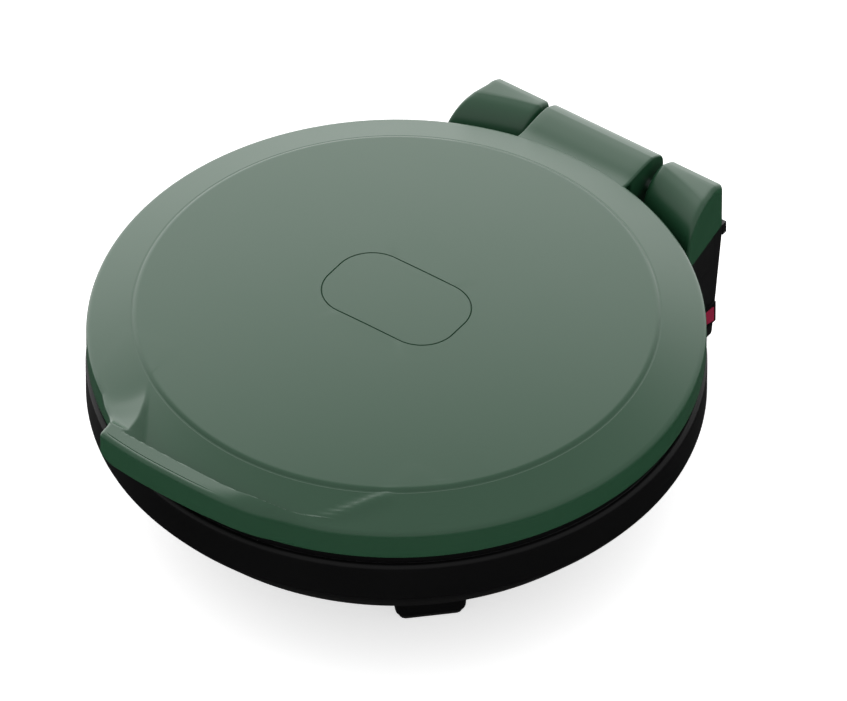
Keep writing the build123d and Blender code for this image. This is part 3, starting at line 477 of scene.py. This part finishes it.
for plate, node, body, slot in (
    (lower_plate, "lower_pan", "base", "non_stick"),
    (upper_plate, "upper_pan", "lid", "non_stick"),
    (inner_ring, "lid_ring", "lid", "black_plastic"),
):
    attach(plate, body)
    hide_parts(node)

# %% [markdown]
# ## The green lid
# The lid is round, but its lip isn't: the left end stands clear of the rim and the right end runs
# into it, with a scooped recess for the fingers behind. Joining a round mesh to a lip mesh leaves a
# visible seam. Here the top of the lid is one height for each point of the plan instead, as in a
# relief carving, and soft minima and maxima of simple heights give the blends between them.

# %% Soft choices between two heights
def soft_max(a, b, blend):
    """The larger of two heights, rounded where they meet over the blend's width."""
    share = np.clip(0.5 + 0.5 * (a - b) / blend, 0, 1)
    return a * share + b * (1 - share) + blend * share * (1 - share)


def soft_min(a, b, blend):
    """The smaller of two heights, rounded in the same way."""
    return -soft_max(-a, -b, blend)


def ease(low, high, value):
    """Runs softly from 0 to 1 as the value goes from the first limit to the second, up or down."""
    share = np.clip((value - low) / (high - low), 0, 1)
    return share * share * (3 - 2 * share)


print("soft corner of 0 and 0:", soft_max(0.0, 0.0, 1.0))

# %% [markdown]
# The round part is a dome that ends in a short steep roll, a crease ring, and an annulus that slopes
# to the shoulder. Three heights and two soft choices describe it.

# %% The height of the round part
LID_R = 167.8
LID_EDGE_Z = 90.4
SHOULDER_Z = 106.3
CREASE_R = 143.0
CREASE_Z = 115.6
DOME_TOP_Z = 126.6
DOME_FALL = 8.2
DOME_R = 130.0


def round_height(radius):
    """Height of the lid's round part at a distance from the axis."""
    dome = DOME_TOP_Z - DOME_FALL * (radius / DOME_R) ** 2
    roll = CREASE_Z - 0.3 + (CREASE_R - radius) * 0.95
    annulus = SHOULDER_Z + (LID_R - radius) * (CREASE_Z - SHOULDER_Z) / (LID_R - CREASE_R)
    annulus = np.minimum(annulus, CREASE_Z + (radius - CREASE_R) * 0.9)
    line = 0.14 * ease(0.5, 0.1, np.abs(radius - CREASE_R - 0.25))
    return soft_max(soft_min(dome, roll, 0.8), annulus, 0.3) - line


print("heights", [round(float(round_height(r)), 1) for r in (0, 100, 138, 143, 150, 167)])

# %% [markdown]
# The lip's plan is drawn once as lines of points. Distances to these lines drive the rounding at the
# outline and the ridges beside the recess.

# %% Smooth lines, and distances to them
FAR_OFF = 1e9


def smooth_line(points, steps=24):
    """A smooth open curve through points (Catmull-Rom)."""
    p = np.array([points[0], *points, points[-1]], dtype=float)
    line = []
    for i in range(1, len(p) - 2):
        for t in np.linspace(0, 1, steps, endpoint=False):
            line.append(0.5 * (
                2 * p[i] + (p[i + 1] - p[i - 1]) * t
                + (2 * p[i - 1] - 5 * p[i] + 4 * p[i + 1] - p[i + 2]) * t**2
                + (3 * p[i] - p[i - 1] - 3 * p[i + 1] + p[i + 2]) * t**3
            ))
    line.append(p[-2])
    return np.array(line)


def distance_to(line, x, y):
    """Distance from each point to the nearest part of a line."""
    best = np.full(np.shape(x), FAR_OFF)
    for (ax, ay), (bx, by) in zip(line[:-1], line[1:]):
        dx, dy = bx - ax, by - ay
        t = np.clip(((x - ax) * dx + (y - ay) * dy) / (dx * dx + dy * dy + 1e-12), 0, 1)
        best = np.minimum(best, np.hypot(x - ax - t * dx, y - ay - t * dy))
    return best


print("distance", distance_to(np.array([(0.0, 0.0), (2.0, 0.0)]), np.array([1.0]), np.array([0.5])))

# %% The lip's outline and the foot of its recess
left_flank = smooth_line([
    (-97.0, -136.9), (-90.0, -144.0), (-82.0, -150.8), (-76.6, -157.6), (-75.0, -162.5),
])
left_end = smooth_line([(-75.0, -162.5), (-74.6, -167.6), (-73.8, -170.2), (-71.5, -171.3)], 8)
lip_front = smooth_line([
    (-71.5, -171.3), (-58.0, -173.4), (-40.0, -175.1), (-10.0, -176.0), (8.0, -175.2),
    (19.0, -172.9), (30.0, -169.0), (39.0, -164.6), (48.0, -160.8),
])
lip_outline = np.vstack([left_flank, left_end[1:], lip_front[1:]])
left_ridge = smooth_line([
    (-79.0, -121.0), (-74.6, -127.5), (-69.5, -137.0), (-65.2, -147.1), (-63.7, -159.0),
])
right_ridge = smooth_line([(79.5, -122.0), (69.3, -136.2), (62.8, -143.8), (56.0, -151.5)])
side_foot = smooth_line([
    (78.0, -118.0), (70.6, -130.0), (64.7, -139.8), (60.0, -147.0), (54.5, -156.0), (50.0, -163.0),
])
bar_foot = smooth_line([
    (-60.0, -159.8), (-51.0, -160.6), (-30.0, -161.9), (6.4, -162.8), (25.6, -159.9), (43.0, -155.8),
    (56.0, -150.6), (66.0, -145.0),
])
print("outline points", len(lip_outline))

# %% [markdown]
# The lip is a bar at one height. A ridge runs from its left end back to the crease ring, and the
# surface outside the ridge falls to the rim. On the right a sloping face takes the bar down to the
# rim. The finger recess is cut into this: its walls rise from a foot line, gently at the two sides
# and steeply behind the bar, and the lower of the land and the wall is the surface. The side's foot
# line slants, so the slant's cosine turns a distance along x into one square to that line.

# %% The height of the lip, its ridges and its recess
LIP_TOP_Z = 115.0
LIP_FLOOR_Z = 106.0
BAR_REAR_Y = -160.0
SIDE_SLANT = 0.85


def hollow(fall, reach, power=2.0):
    """Runs from 1 down to 0 over a reach, steep first and then flat."""
    return np.clip(1 - fall / reach, 0, 1) ** power


def front_slope(x, y):
    """The lip's front face on the right, which goes down to the rim."""
    front_y = np.interp(x, lip_front[:, 0], lip_front[:, 1])
    front_y = np.where(x > 48, -np.sqrt(np.maximum(LID_R**2 - x**2, 0)), front_y)
    low = np.interp(x, (-16, 2, 14, 24, 36, 48, 60), (117, 115.4, 113, 110.4, 107.8, 106.4, 106.0))
    steep = np.interp(x, (0, 30, 48, 60, 90), (0.3, 0.5, 0.6, 0.6, 0.6))
    return low + steep * (y - front_y)


def lip_height(x, y):
    """Height of the lip, its ridges and the recess walls, at points of the plan."""
    ring = round_height(np.hypot(x, y))
    bar_top = np.interp(x, (20, 34, 46, 56, 68), (LIP_TOP_Z, 113.6, 111.0, 108.6, 106.0))
    behind = np.where(x < -40, hollow(y - BAR_REAR_Y, 19.0, 2.2), 1.0)
    bar = LIP_FLOOR_Z + (bar_top - LIP_FLOOR_Z) * np.where(y < BAR_REAR_Y, 1.0, behind)
    left = LIP_FLOOR_Z + 7.8 * hollow(distance_to(left_ridge, x, y), 27.0, 1.5)
    right = ring + 1.7 * hollow(distance_to(right_ridge, x, y), 9.0, 1.3) - 0.2
    land = soft_max(soft_max(bar, left, 2.5), right, 1.2)
    land = soft_min(land, front_slope(x, y), 3.0)
    foot_x = np.interp(-y, -side_foot[:, 1], side_foot[:, 0])
    foot_y = np.interp(x, bar_foot[:, 0], bar_foot[:, 1])
    past_side = (np.abs(x) - foot_x) * SIDE_SLANT
    past_bar = foot_y - y
    wall = ring + np.maximum(past_side * 0.95, past_bar * 4.5)
    return soft_min(land, wall, 0.9)


print("bar", round(float(lip_height(np.array([0.0]), np.array([-170.0]))[0]), 2))

# %% [markdown]
# A thin groove frames the bare place in the middle of the lid. It is cut as a small dip along a
# rounded rectangle, so it follows the dome.

# %% The line of the groove in the middle
FRAME_X, FRAME_Y, FRAME_CORNER = 41.2, 26.2, 20.8
GROOVE_DEPTH = 0.8


def frame_distance(x, y):
    """Distance from the rounded rectangle in the middle of the lid, below zero inside it."""
    across_x = np.abs(x) - (FRAME_X - FRAME_CORNER)
    along_y = np.abs(y) - (FRAME_Y - FRAME_CORNER)
    outside = np.hypot(np.maximum(across_x, 0), np.maximum(along_y, 0))
    return outside + np.minimum(np.maximum(across_x, along_y), 0) - FRAME_CORNER


print("on the frame", round(float(frame_distance(np.array([FRAME_X]), np.array([0.0]))[0]), 3))

# %% [markdown]
# The net's columns run from the middle outwards. They stand close together over the lip and wider
# apart elsewhere. Each column goes over the top, round the edge, under the lip, down the wall, round
# the bottom edge and up the inside, so the lid is one closed skin with a real thickness.

# %% Where the columns stand and how far out they reach
lip_turn = np.arctan2(lip_outline[:, 1], lip_outline[:, 0])
lip_reach = np.hypot(lip_outline[:, 0], lip_outline[:, 1])
first, last = lip_turn[0], lip_turn[-1]
over_lip = np.interp(np.arange(0, 1.00001, 1 / 330), np.linspace(0, 1, len(lip_turn)), lip_turn)
elsewhere = np.linspace(last, first + 2 * math.pi, 200)[1:-1]
turns = np.concatenate([over_lip, elsewhere])
lip_or_rim = np.maximum(np.interp(turns, lip_turn, lip_reach), LID_R)
reach = np.where(turns <= last, lip_or_rim, LID_R)
is_lip = reach > LID_R + 0.02
print("columns", len(turns), "over the lip", int(is_lip.sum()), "reach", round(float(reach.max()), 1))

# %% The rows over the top
EDGE_ROUND = 2.4
LINE_IN = 3.3
FOLLOW_R = 150
LIP_ZONE_X, LIP_ZONE_Y = 110, -95
LINE_DEPTH = 0.35
edge_steps = EDGE_ROUND * (1 - np.cos(np.radians(np.arange(0, 90, 11.25))))
# Each column's place on the groove, found by moving a point out by its distance again and again
frame_reach = np.full(len(turns), 20.0)
for _ in range(60):
    frame_reach -= frame_distance(frame_reach * np.cos(turns), frame_reach * np.sin(turns))
rows = [frame_reach * share for share in (0, 0.2, 0.4, 0.6, 0.8, 0.93)]
rows += [frame_reach + step for step in (-0.7, -0.42, -0.3, -0.15, 0, 0.15, 0.3, 0.42, 0.7)]
# Plain rings as far as FOLLOW_R, and from there rows that draw near to the outline
for r in (*np.linspace(48, 104, 12), *np.linspace(108, 136, 12), *np.linspace(136.8, 142.2, 10),
          *np.linspace(142.4, 144.1, 12), *np.linspace(144.6, FOLLOW_R, 9)):
    rows.append(np.full(len(turns), r))
for share in np.linspace(0.02, 1, 44):
    rows.append(FOLLOW_R + (reach - LINE_IN - 0.5 - FOLLOW_R) * share)
for step in (0.3, 0.2, 0.1, 0.0, -0.1, -0.2, -0.3):
    rows.append(reach - LINE_IN - step)
for step in edge_steps[::-1]:
    rows.append(reach - step)
radius = np.array(rows)
x, y = radius * np.cos(turns), radius * np.sin(turns)
top = round_height(radius)
front_part = (y < LIP_ZONE_Y) & (np.abs(x) < LIP_ZONE_X)
lip = lip_height(x[front_part], y[front_part])
top[front_part] = soft_max(top[front_part], lip, 0.6)
fine_line = ease(0.28, 0.0, np.abs(reach - radius - LINE_IN)) * ease(-73, -66, x) * ease(8, -16, x)
top = top - np.where(is_lip, LINE_DEPTH * fine_line, 0.0)
print("top rows", len(rows), "highest", round(float(top.max()), 2))

# %% The rows round the edge, down the wall and up the inside
def ring_at(distance, heights):
    """One row of the net at a distance from the axis and at a height."""
    return distance * np.cos(turns), distance * np.sin(turns), heights + 0 * turns


NEAR_EDGE = 12
to_edge = np.full(top.shape, FAR_OFF)
near_edge = (radius > reach - NEAR_EDGE) & is_lip
to_edge[near_edge] = distance_to(lip_outline, x[near_edge], y[near_edge])
inwards = reach - radius
over_rim = np.where(radius < LID_R, FAR_OFF, np.maximum(inwards, 0))
to_edge = np.minimum(to_edge, np.where(is_lip, over_rim, inwards))
round_off = np.clip(EDGE_ROUND - to_edge, 0, EDGE_ROUND)
top = top - (EDGE_ROUND - np.sqrt(EDGE_ROUND**2 - round_off**2))
groove = ease(0.36, 0.1, np.abs(frame_distance(x, y)))
top = top - GROOVE_DEPTH * np.where(radius < 60, groove, 0)

EDGE_LOW = 0.9
BOTTOM_ROUND = 0.8
PLATE_SEAT = 1.6
edge_x = reach * np.cos(turns)
lip_low = 97.5 + 3.0 * ease(-64.0, -75.5, edge_x) - 5.5 * ease(2.0, 44.0, edge_x)
body_low = np.where(is_lip, lip_low, 100.0)
seat = body_low + PLATE_SEAT
last_top = top[-1]
net = list(zip(x, y, top))
for share in (0.12, 0.4, 0.7, 1.0):
    net.append(ring_at(reach, last_top + (body_low + EDGE_LOW - last_top) * share))
for angle in (30, 60, 90):
    drawn_in = np.where(is_lip, EDGE_LOW * (1 - math.cos(math.radians(angle))), 0.0)
    sunk = np.where(is_lip, EDGE_LOW * (1 - math.sin(math.radians(angle))), EDGE_LOW - 0.3 * angle / 90)
    net.append(ring_at(np.maximum(reach - drawn_in, LID_R), body_low + sunk))
net.append(ring_at(np.maximum(reach - 2.5, LID_R), np.where(is_lip, body_low, 100.5)))
net.append(ring_at(np.maximum(reach - 2.7, LID_R), np.where(is_lip, seat, 100.4)))
net.append(ring_at(LID_R, np.where(is_lip, seat, 100.3)))
net.append(ring_at(LID_R, np.where(is_lip, np.maximum(body_low - 1.0, 91.4), 96.5)))
net.append(ring_at(LID_R, LID_EDGE_Z + BOTTOM_ROUND))
for angle in (30, 60, 90):
    drawn_in = BOTTOM_ROUND * (1 - math.cos(math.radians(angle)))
    lifted = BOTTOM_ROUND * (1 - math.sin(math.radians(angle)))
    net.append(ring_at(LID_R - drawn_in, LID_EDGE_Z + lifted))
for distance, level in (
    (165.3, 90.4), (165.2, 91.2), (165.2, 100.0), (163.0, 104.2), (143.0, 112.4), (130.0, 115.4),
    (90.0, 119.6), (45.0, 122.7), (0.0, 123.8),
):
    net.append(ring_at(distance, level))
net = np.array(net).transpose(0, 2, 1)
print("net", net.shape)

# %% Stitch the lid
lid_faces = net_faces(net.shape[0], net.shape[1], True)
lid_skin = piece("lid_skin", net.reshape(-1, 3), lid_faces, lid_green, 40)
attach(lid_skin, "lid")
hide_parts("lid_cover")

# %% [markdown]
# A plate closes the underside of the lip, let in by its own thickness. It follows the lip's columns,
# a little inside them, and each column gives one cross-section with small chamfers below.

# %% The plate under the lip
PLATE_THICK = 1.5
PLATE_CHAMFER = 0.3
plate_columns = np.where(reach > LID_R + 3.8)[0]
plate_sections = []
for i in plate_columns:
    near, far = LID_R + 0.3, float(reach[i]) - 2.9
    low = float(lip_low[i])
    cut, high = low + PLATE_CHAMFER, low + PLATE_THICK
    corners = (
        (far, cut), (far - PLATE_CHAMFER, low), (near + PLATE_CHAMFER, low), (near, cut),
        (near, high), (far, high),
    )
    plate_sections.append([(r * math.cos(turns[i]), r * math.sin(turns[i]), z) for r, z in corners])
plate_points = np.array(plate_sections)
plate_faces = net_faces(len(plate_columns), 6, True)
plate_faces += [tuple(range(6))[::-1], tuple((len(plate_columns) - 1) * 6 + i for i in range(6))]
lip_plate = piece("lip_plate", plate_points.reshape(-1, 3), plate_faces, lid_green, 30)
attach(lip_plate, "lid")
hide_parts("handle_cover")

# %% [markdown]
# ## The blocks over the hinge
# Three green blocks stand in a row behind the lid. The outer two cap the towers and stay still, and
# the middle one turns with the lid. A block is one side outline carried along its width, drawn in
# near both ends so that its edges are round. The outer blocks' fronts are round about the pan's own
# axis, so they follow the lid's rim, and their outer sides spread towards the lid.

# %% One block from side outlines
def spot_across(left, right, edge, offset, side):
    """X at an offset from side 0 or 1, or a share of the way across where there is no offset."""
    if offset is None:
        return left + edge + (right - left - 2 * edge) * side
    return left + offset if side == 0 else right - offset


def block_piece(name, section, material, edge, steps=6, middle=14):
    """A block with rounded ends. section(offset, side, inset) gives its outline, drawn in by inset."""
    rounding = []
    for i in range(steps + 1):
        angle = math.radians(90 * i / steps)
        rounding.append((edge * (1 - math.cos(angle)), edge * (1 - math.sin(angle))))
    rows = [section(offset, 0, inset) for offset, inset in rounding]
    rows += [section(None, share, 0.0) for share in np.linspace(0, 1, middle + 2)[1:-1]]
    rows += [section(offset, 1, inset) for offset, inset in rounding[::-1]]
    points = np.array(rows)
    count = points.shape[1]
    faces = net_faces(len(rows), count, True)
    faces += [tuple(range(count))[::-1], tuple((len(rows) - 1) * count + i for i in range(count))]
    return piece(name, points.reshape(-1, 3), faces, material, 50)


def inward(outline):
    """Unit normals of a closed (a, b) outline, which point to its inside."""
    outline = np.asarray(outline, dtype=float)
    along = np.roll(outline, -1, axis=0) - np.roll(outline, 1, axis=0)
    along /= np.linalg.norm(along, axis=1)[:, None] + 1e-9
    normal = np.stack([-along[:, 1], along[:, 0]], axis=1)
    after = np.roll(outline, -1, axis=0)
    area = np.sum(outline[:, 0] * after[:, 1] - after[:, 0] * outline[:, 1])
    return normal if area > 0 else -normal


print("inward at a corner", inward([(0, 0), (1, 0), (1, 1), (0, 1)])[0].round(3))

# %% The two tower caps
CAP_IN, CAP_OUT = 39.75, 76.0
CAP_EDGE = 3.2
CAP_FOOT_Z = 74.0
cap_front = smooth_line([
    (175.5, CAP_FOOT_Z), (176.0, 81.0), (177.3, 90.0), (180.0, 96.0), (184.5, 101.0), (189.5, 104.0),
    (195.0, 105.4),
], 5)


def cap_side(y):
    """X of a cap's outer side, which spreads towards the lid."""
    return CAP_OUT + 0.2 * max(190.0 - y, 0.0)


def cap_section(offset, side, inset):
    """Outline of the right cap: its front follows a circle round the pan's axis, its back is flat."""
    points = []

    def place(distance, z, fixed_y=None):
        """Adds a point at a distance from the pan's axis, or at a fixed y."""
        spot_y = distance if fixed_y is None else fixed_y
        for _ in range(3):
            spot_x = spot_across(CAP_IN, cap_side(spot_y), CAP_EDGE, offset, side)
            if fixed_y is None:
                spot_y = math.sqrt(distance**2 - spot_x**2)
        points.append((spot_x, spot_y, z))

    slope = np.gradient(cap_front, axis=0)
    slope /= np.linalg.norm(slope, axis=1)[:, None]
    for (distance, z), (run, rise) in zip(cap_front, slope):
        place(distance + inset * rise, max(z - inset * run, CAP_FOOT_Z))
    _, top_y, top_z = points[-1]
    for share in (0.2, 0.4, 0.6, 0.8, 1.0):
        spot = top_y + (194.0 - inset - top_y) * share
        place(0, top_z + (104.6 - inset - top_z) * share**1.6, spot)
    for spot, z in (
        (194.6, 104.4), (196.6, 103.5), (198.2, 102.7), (199.0, 102.2), (199.7, 101.3), (200.0, 100.0),
        (200.0, 88.0), (200.0, CAP_FOOT_Z),
    ):
        place(0, max(z - inset, CAP_FOOT_Z), spot - inset)
    return points


right_cap = block_piece("right_cap", cap_section, lid_green, CAP_EDGE)
left_mesh = right_cap.data.copy()
left_mesh.name = "left_cap"
build = bmesh.new()
build.from_mesh(left_mesh)
for vertex in build.verts:
    vertex.co.x = -vertex.co.x
bmesh.ops.reverse_faces(build, faces=build.faces)
build.to_mesh(left_mesh)
build.free()
left_cap = bpy.data.objects.new("left_cap", left_mesh)
bpy.context.scene.collection.objects.link(left_cap)
for cap, node in ((right_cap, "right_hinge_cover"), (left_cap, "left_hinge_cover")):
    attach(cap, "base")
    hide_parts(node)

# %% The middle block, which turns with the lid
CENTRE_HALF = 35.75
CENTRE_EDGE = 1.4
centre_outline = np.array([
    (150.0, 104.0), (150.0, 108.2),
    *smooth_line([(160.0, 107.4), (168.0, 106.9), (176.0, 107.9), (184.0, 108.5), (189.6, 108.3)], 5),
    (190.2, 108.1), (192.4, 107.2), (194.8, 106.1),
    *smooth_line([(195.3, 105.8), (198.0, 103.8), (199.6, 101.0), (200.0, 98.0)], 4),
    (200.0, 90.5), (199.5, 84.5),
    *[(188.0 + 12.0 * math.cos(a), 87.5 - 12.0 * math.sin(a)) for a in np.linspace(0.3, math.pi, 14)],
    (176.0, 89.2), (169.0, 89.4), (168.0, 89.4), (168.0, 104.0),
])
centre_normals = inward(centre_outline)


def centre_section(offset, side, inset):
    """Outline of the middle block, which is the same all the way across."""
    spot_x = spot_across(-CENTRE_HALF, CENTRE_HALF, CENTRE_EDGE, offset, side)
    return [(spot_x, a, b) for a, b in centre_outline + centre_normals * inset]


middle_block = block_piece("middle_block", centre_section, lid_green, CENTRE_EDGE)
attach(middle_block, "lid")
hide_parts("hinge_centre_cover")

# %% [markdown]
# ## What repeats round the axis
# Six screws hold the bottom plate, six hold the ring in the lid, and four feet with rubber pads carry
# the bowl. Each set is one shape repeated round the same axis. Copies placed by hand would do, but a
# Geometry Nodes tree says the rule once: points on a circle, one turned copy on each, made real so
# that it exports. Its named inputs are the numbers a drawing would give.

# %% A node tree that repeats a shape round the axis
around = bpy.data.node_groups.new("around_the_axis", "GeometryNodeTree")
add_socket(around, "Shape", "INPUT", "NodeSocketGeometry")
add_socket(around, "Count", "INPUT", "NodeSocketInt", 6)
add_socket(around, "Radius", "INPUT", "NodeSocketFloat", 0.1)
add_socket(around, "First Angle", "INPUT", "NodeSocketFloat", 0.0)
add_socket(around, "Place", "INPUT", "NodeSocketVector", (0.0, 0.0, 0.0))
add_socket(around, "Finish", "INPUT", "NodeSocketMaterial")
add_socket(around, "Copies", "OUTPUT", "NodeSocketGeometry")

numbers = add_node(around, "NodeGroupInput")
copies = add_node(around, "NodeGroupOutput")
full_turn = add_node(around, "ShaderNodeMath", operation="DIVIDE")
full_turn.inputs[0].default_value = 2 * math.pi
which = add_node(around, "GeometryNodeInputIndex")
angle = add_node(around, "ShaderNodeMath", operation="MULTIPLY_ADD")
turned_by = add_node(around, "ShaderNodeCombineXYZ")
spots = add_node(around, "GeometryNodePoints")
outwards = add_node(around, "ShaderNodeVectorRotate", rotation_type="Z_AXIS")
arm = add_node(around, "ShaderNodeCombineXYZ")
placed = add_node(around, "ShaderNodeVectorMath", operation="ADD")
on_points = add_node(around, "GeometryNodeInstanceOnPoints")
real = add_node(around, "GeometryNodeRealizeInstances")
painted = add_node(around, "GeometryNodeSetMaterial")
link_all(
    around,
    (numbers.outputs["Count"], full_turn.inputs[1]),
    (which.outputs["Index"], angle.inputs[0]),
    (full_turn.outputs["Value"], angle.inputs[1]),
    (numbers.outputs["First Angle"], angle.inputs[2]),
    (angle.outputs["Value"], turned_by.inputs["Z"]),
    (numbers.outputs["Radius"], arm.inputs["X"]),
    (arm.outputs["Vector"], outwards.inputs["Vector"]),
    (angle.outputs["Value"], outwards.inputs["Angle"]),
    (outwards.outputs["Vector"], placed.inputs[0]),
    (numbers.outputs["Place"], placed.inputs[1]),
    (numbers.outputs["Count"], spots.inputs["Count"]),
    (placed.outputs["Vector"], spots.inputs["Position"]),
    (spots.outputs["Points"], on_points.inputs["Points"]),
    (numbers.outputs["Shape"], on_points.inputs["Instance"]),
    (turned_by.outputs["Vector"], on_points.inputs["Rotation"]),
    (on_points.outputs["Instances"], real.inputs["Geometry"]),
    (real.outputs["Geometry"], painted.inputs["Geometry"]),
    (numbers.outputs["Finish"], painted.inputs["Material"]),
    (painted.outputs["Geometry"], copies.inputs["Copies"]),
)
print("tree", around.name, len(around.nodes), "nodes")

# %% Run the tree on a shape and keep the plain mesh
def repeat_round(name, shape_mesh, count, radius, first_angle, z, material, body, slot, *stands_for):
    """One piece with copies of a shape round the axis. The radius and z are in millimetres."""
    holder = bpy.data.objects.new(name, shape_mesh)
    bpy.context.scene.collection.objects.link(holder)
    modifier = holder.modifiers.new("around", "NODES")
    modifier.node_group = around
    sockets = [item for item in around.interface.items_tree if item.in_out == "INPUT"]
    keys = {item.name: item.identifier for item in sockets}
    modifier[keys["Count"]] = count
    modifier[keys["Radius"]] = radius / 1000
    modifier[keys["First Angle"]] = math.radians(first_angle)
    modifier[keys["Place"]] = (0.0, PAN_AXIS_Y / 1000, z / 1000)
    modifier[keys["Finish"]] = material
    bpy.context.view_layer.update()
    evaluated = holder.evaluated_get(bpy.context.evaluated_depsgraph_get())
    mesh = bpy.data.meshes.new_from_object(evaluated)
    mesh.name = name
    holder.modifiers.clear()
    holder.data = mesh
    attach(holder, body)
    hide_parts(*stands_for)
    print(name, "faces", len(mesh.polygons))


print("repeat helper ready")

# %% [markdown]
# A pan-head screw is a low dome with a cross in it. The dome is a small net of rings, and the points
# inside the cross are pushed in. All these screws stand with the head down.

# %% One screw, head down
CROSS_HALF = 0.38
CROSS_REACH = 1.6
CROSS_DEPTH = 0.8


def screw_shape(name, length):
    """A screw with the underside of its head at height 0 and its shank going up from there."""
    head = [
        (0, 1.8), (0.5, 1.8), (0.9, 1.78), (1.3, 1.72), (1.7, 1.6), (2.2, 1.35), (2.7, 0.85), (3.0, 0.3),
        (3.0, 0.0), (1.5, 0.0), (1.5, -length + 1.0), (0.6, -length), (0, -length),
    ]
    columns = 32
    net = []
    for ring, (r, z) in enumerate(head):
        for i in range(columns):
            a = 2 * math.pi * i / columns
            x, y = r * math.cos(a), r * math.sin(a)
            in_cross = min(abs(x), abs(y)) < CROSS_HALF and max(abs(x), abs(y)) < CROSS_REACH
            drop = CROSS_DEPTH if ring < 5 and in_cross else 0.0
            net.append((x, y, -(z - drop)))
    return closed_mesh(name, np.array(net) / 1000, net_faces(len(head), columns, True), 40)


BOTTOM_SCREW_R, BOTTOM_Z = 119.5, 20.5
RING_SCREW_R, RING_Z = 160.2, 86.4
repeat_round("bottom_screw_set", screw_shape("screw_a", 10.2), 6, BOTTOM_SCREW_R, 0, BOTTOM_Z, zinc_steel,
             "base", "zinc_steel", "bottom_screws")
repeat_round("ring_screw_set", screw_shape("screw_b", 10.0), 6, RING_SCREW_R, 0, RING_Z, zinc_steel,
             "lid", "zinc_steel", "lid_ring_screws")

# %% [markdown]
# A foot is a tapered block, longer across than in depth, with round corners and a rounded sole. Its
# outline is drawn once and repeated at several heights.

# %% The four feet and their pads
def rounded_block(name, deep, wide, corner, levels):
    """Stacked outlines of a rounded rectangle. levels are (height, drawn-in) pairs."""
    net = []
    for z, drawn in levels:
        for quarter, (sx, sy) in enumerate(((1, 1), (-1, 1), (-1, -1), (1, -1))):
            for i in range(9):
                a = math.radians(90 * quarter + 90 * i / 8)
                radius = max(corner - drawn, 0.2)
                net.append((
                    sx * (deep / 2 - corner) + radius * math.cos(a),
                    sy * (wide / 2 - corner) + radius * math.sin(a), z,
                ))
    count = len(net) // len(levels)
    faces = net_faces(len(levels), count, True)
    faces += [tuple(range(count)), tuple((len(levels) - 1) * count + i for i in range(count))]
    return closed_mesh(name, np.array(net) / 1000, faces, 40)


FOOT_R = 112.0
foot_levels = [(20.6, 0.0), (10.0, 0.75), (4.2, 1.15), (3.3, 1.4), (2.7, 2.0), (2.5, 2.9)]
repeat_round("feet", rounded_block("foot", 18.0, 41.0, 7.0, foot_levels), 4, FOOT_R, 45, 0,
             black_plastic, "base", "black_plastic",
             "foot_front_left", "foot_front_right", "foot_rear_left", "foot_rear_right")
pad_levels = [(2.6, 0.0), (0.8, 0.0), (0.2, 0.3), (0.0, 0.9)]
repeat_round("pads", rounded_block("pad", 12.0, 35.0, 4.0, pad_levels), 4, FOOT_R, 45, 0,
             rubber, "base", "rubber",
             "pad_front_left", "pad_front_right", "pad_rear_left", "pad_rear_right")

# %% [markdown]
# ## Finishes on the frame's own pieces
# The pieces inside the pan, the bottom plate, the rear housing and the switch keep the frame's own
# shapes. They only need their finishes, which are set on the slots of the frame's objects.

# %% Assign the other finishes
SLOT_FINISH = {
    "lid_green": lid_green, "black_plastic": black_plastic, "rubber": rubber, "non_stick": non_stick,
    "heater_steel": heater_steel, "zinc_steel": zinc_steel, "reflector": reflector,
    "control_body": control_body, "slide_plastic": slide_plastic, "switch_red": switch_red,
}
for entry in frame["record"]["subparts"]:
    node = nodes[entry["node"]]
    node.data.materials.clear()
    node.data.materials.append(SLOT_FINISH[entry["material_slot"]])
nodes["rear_housing"].data.materials[0] = stand_plastic
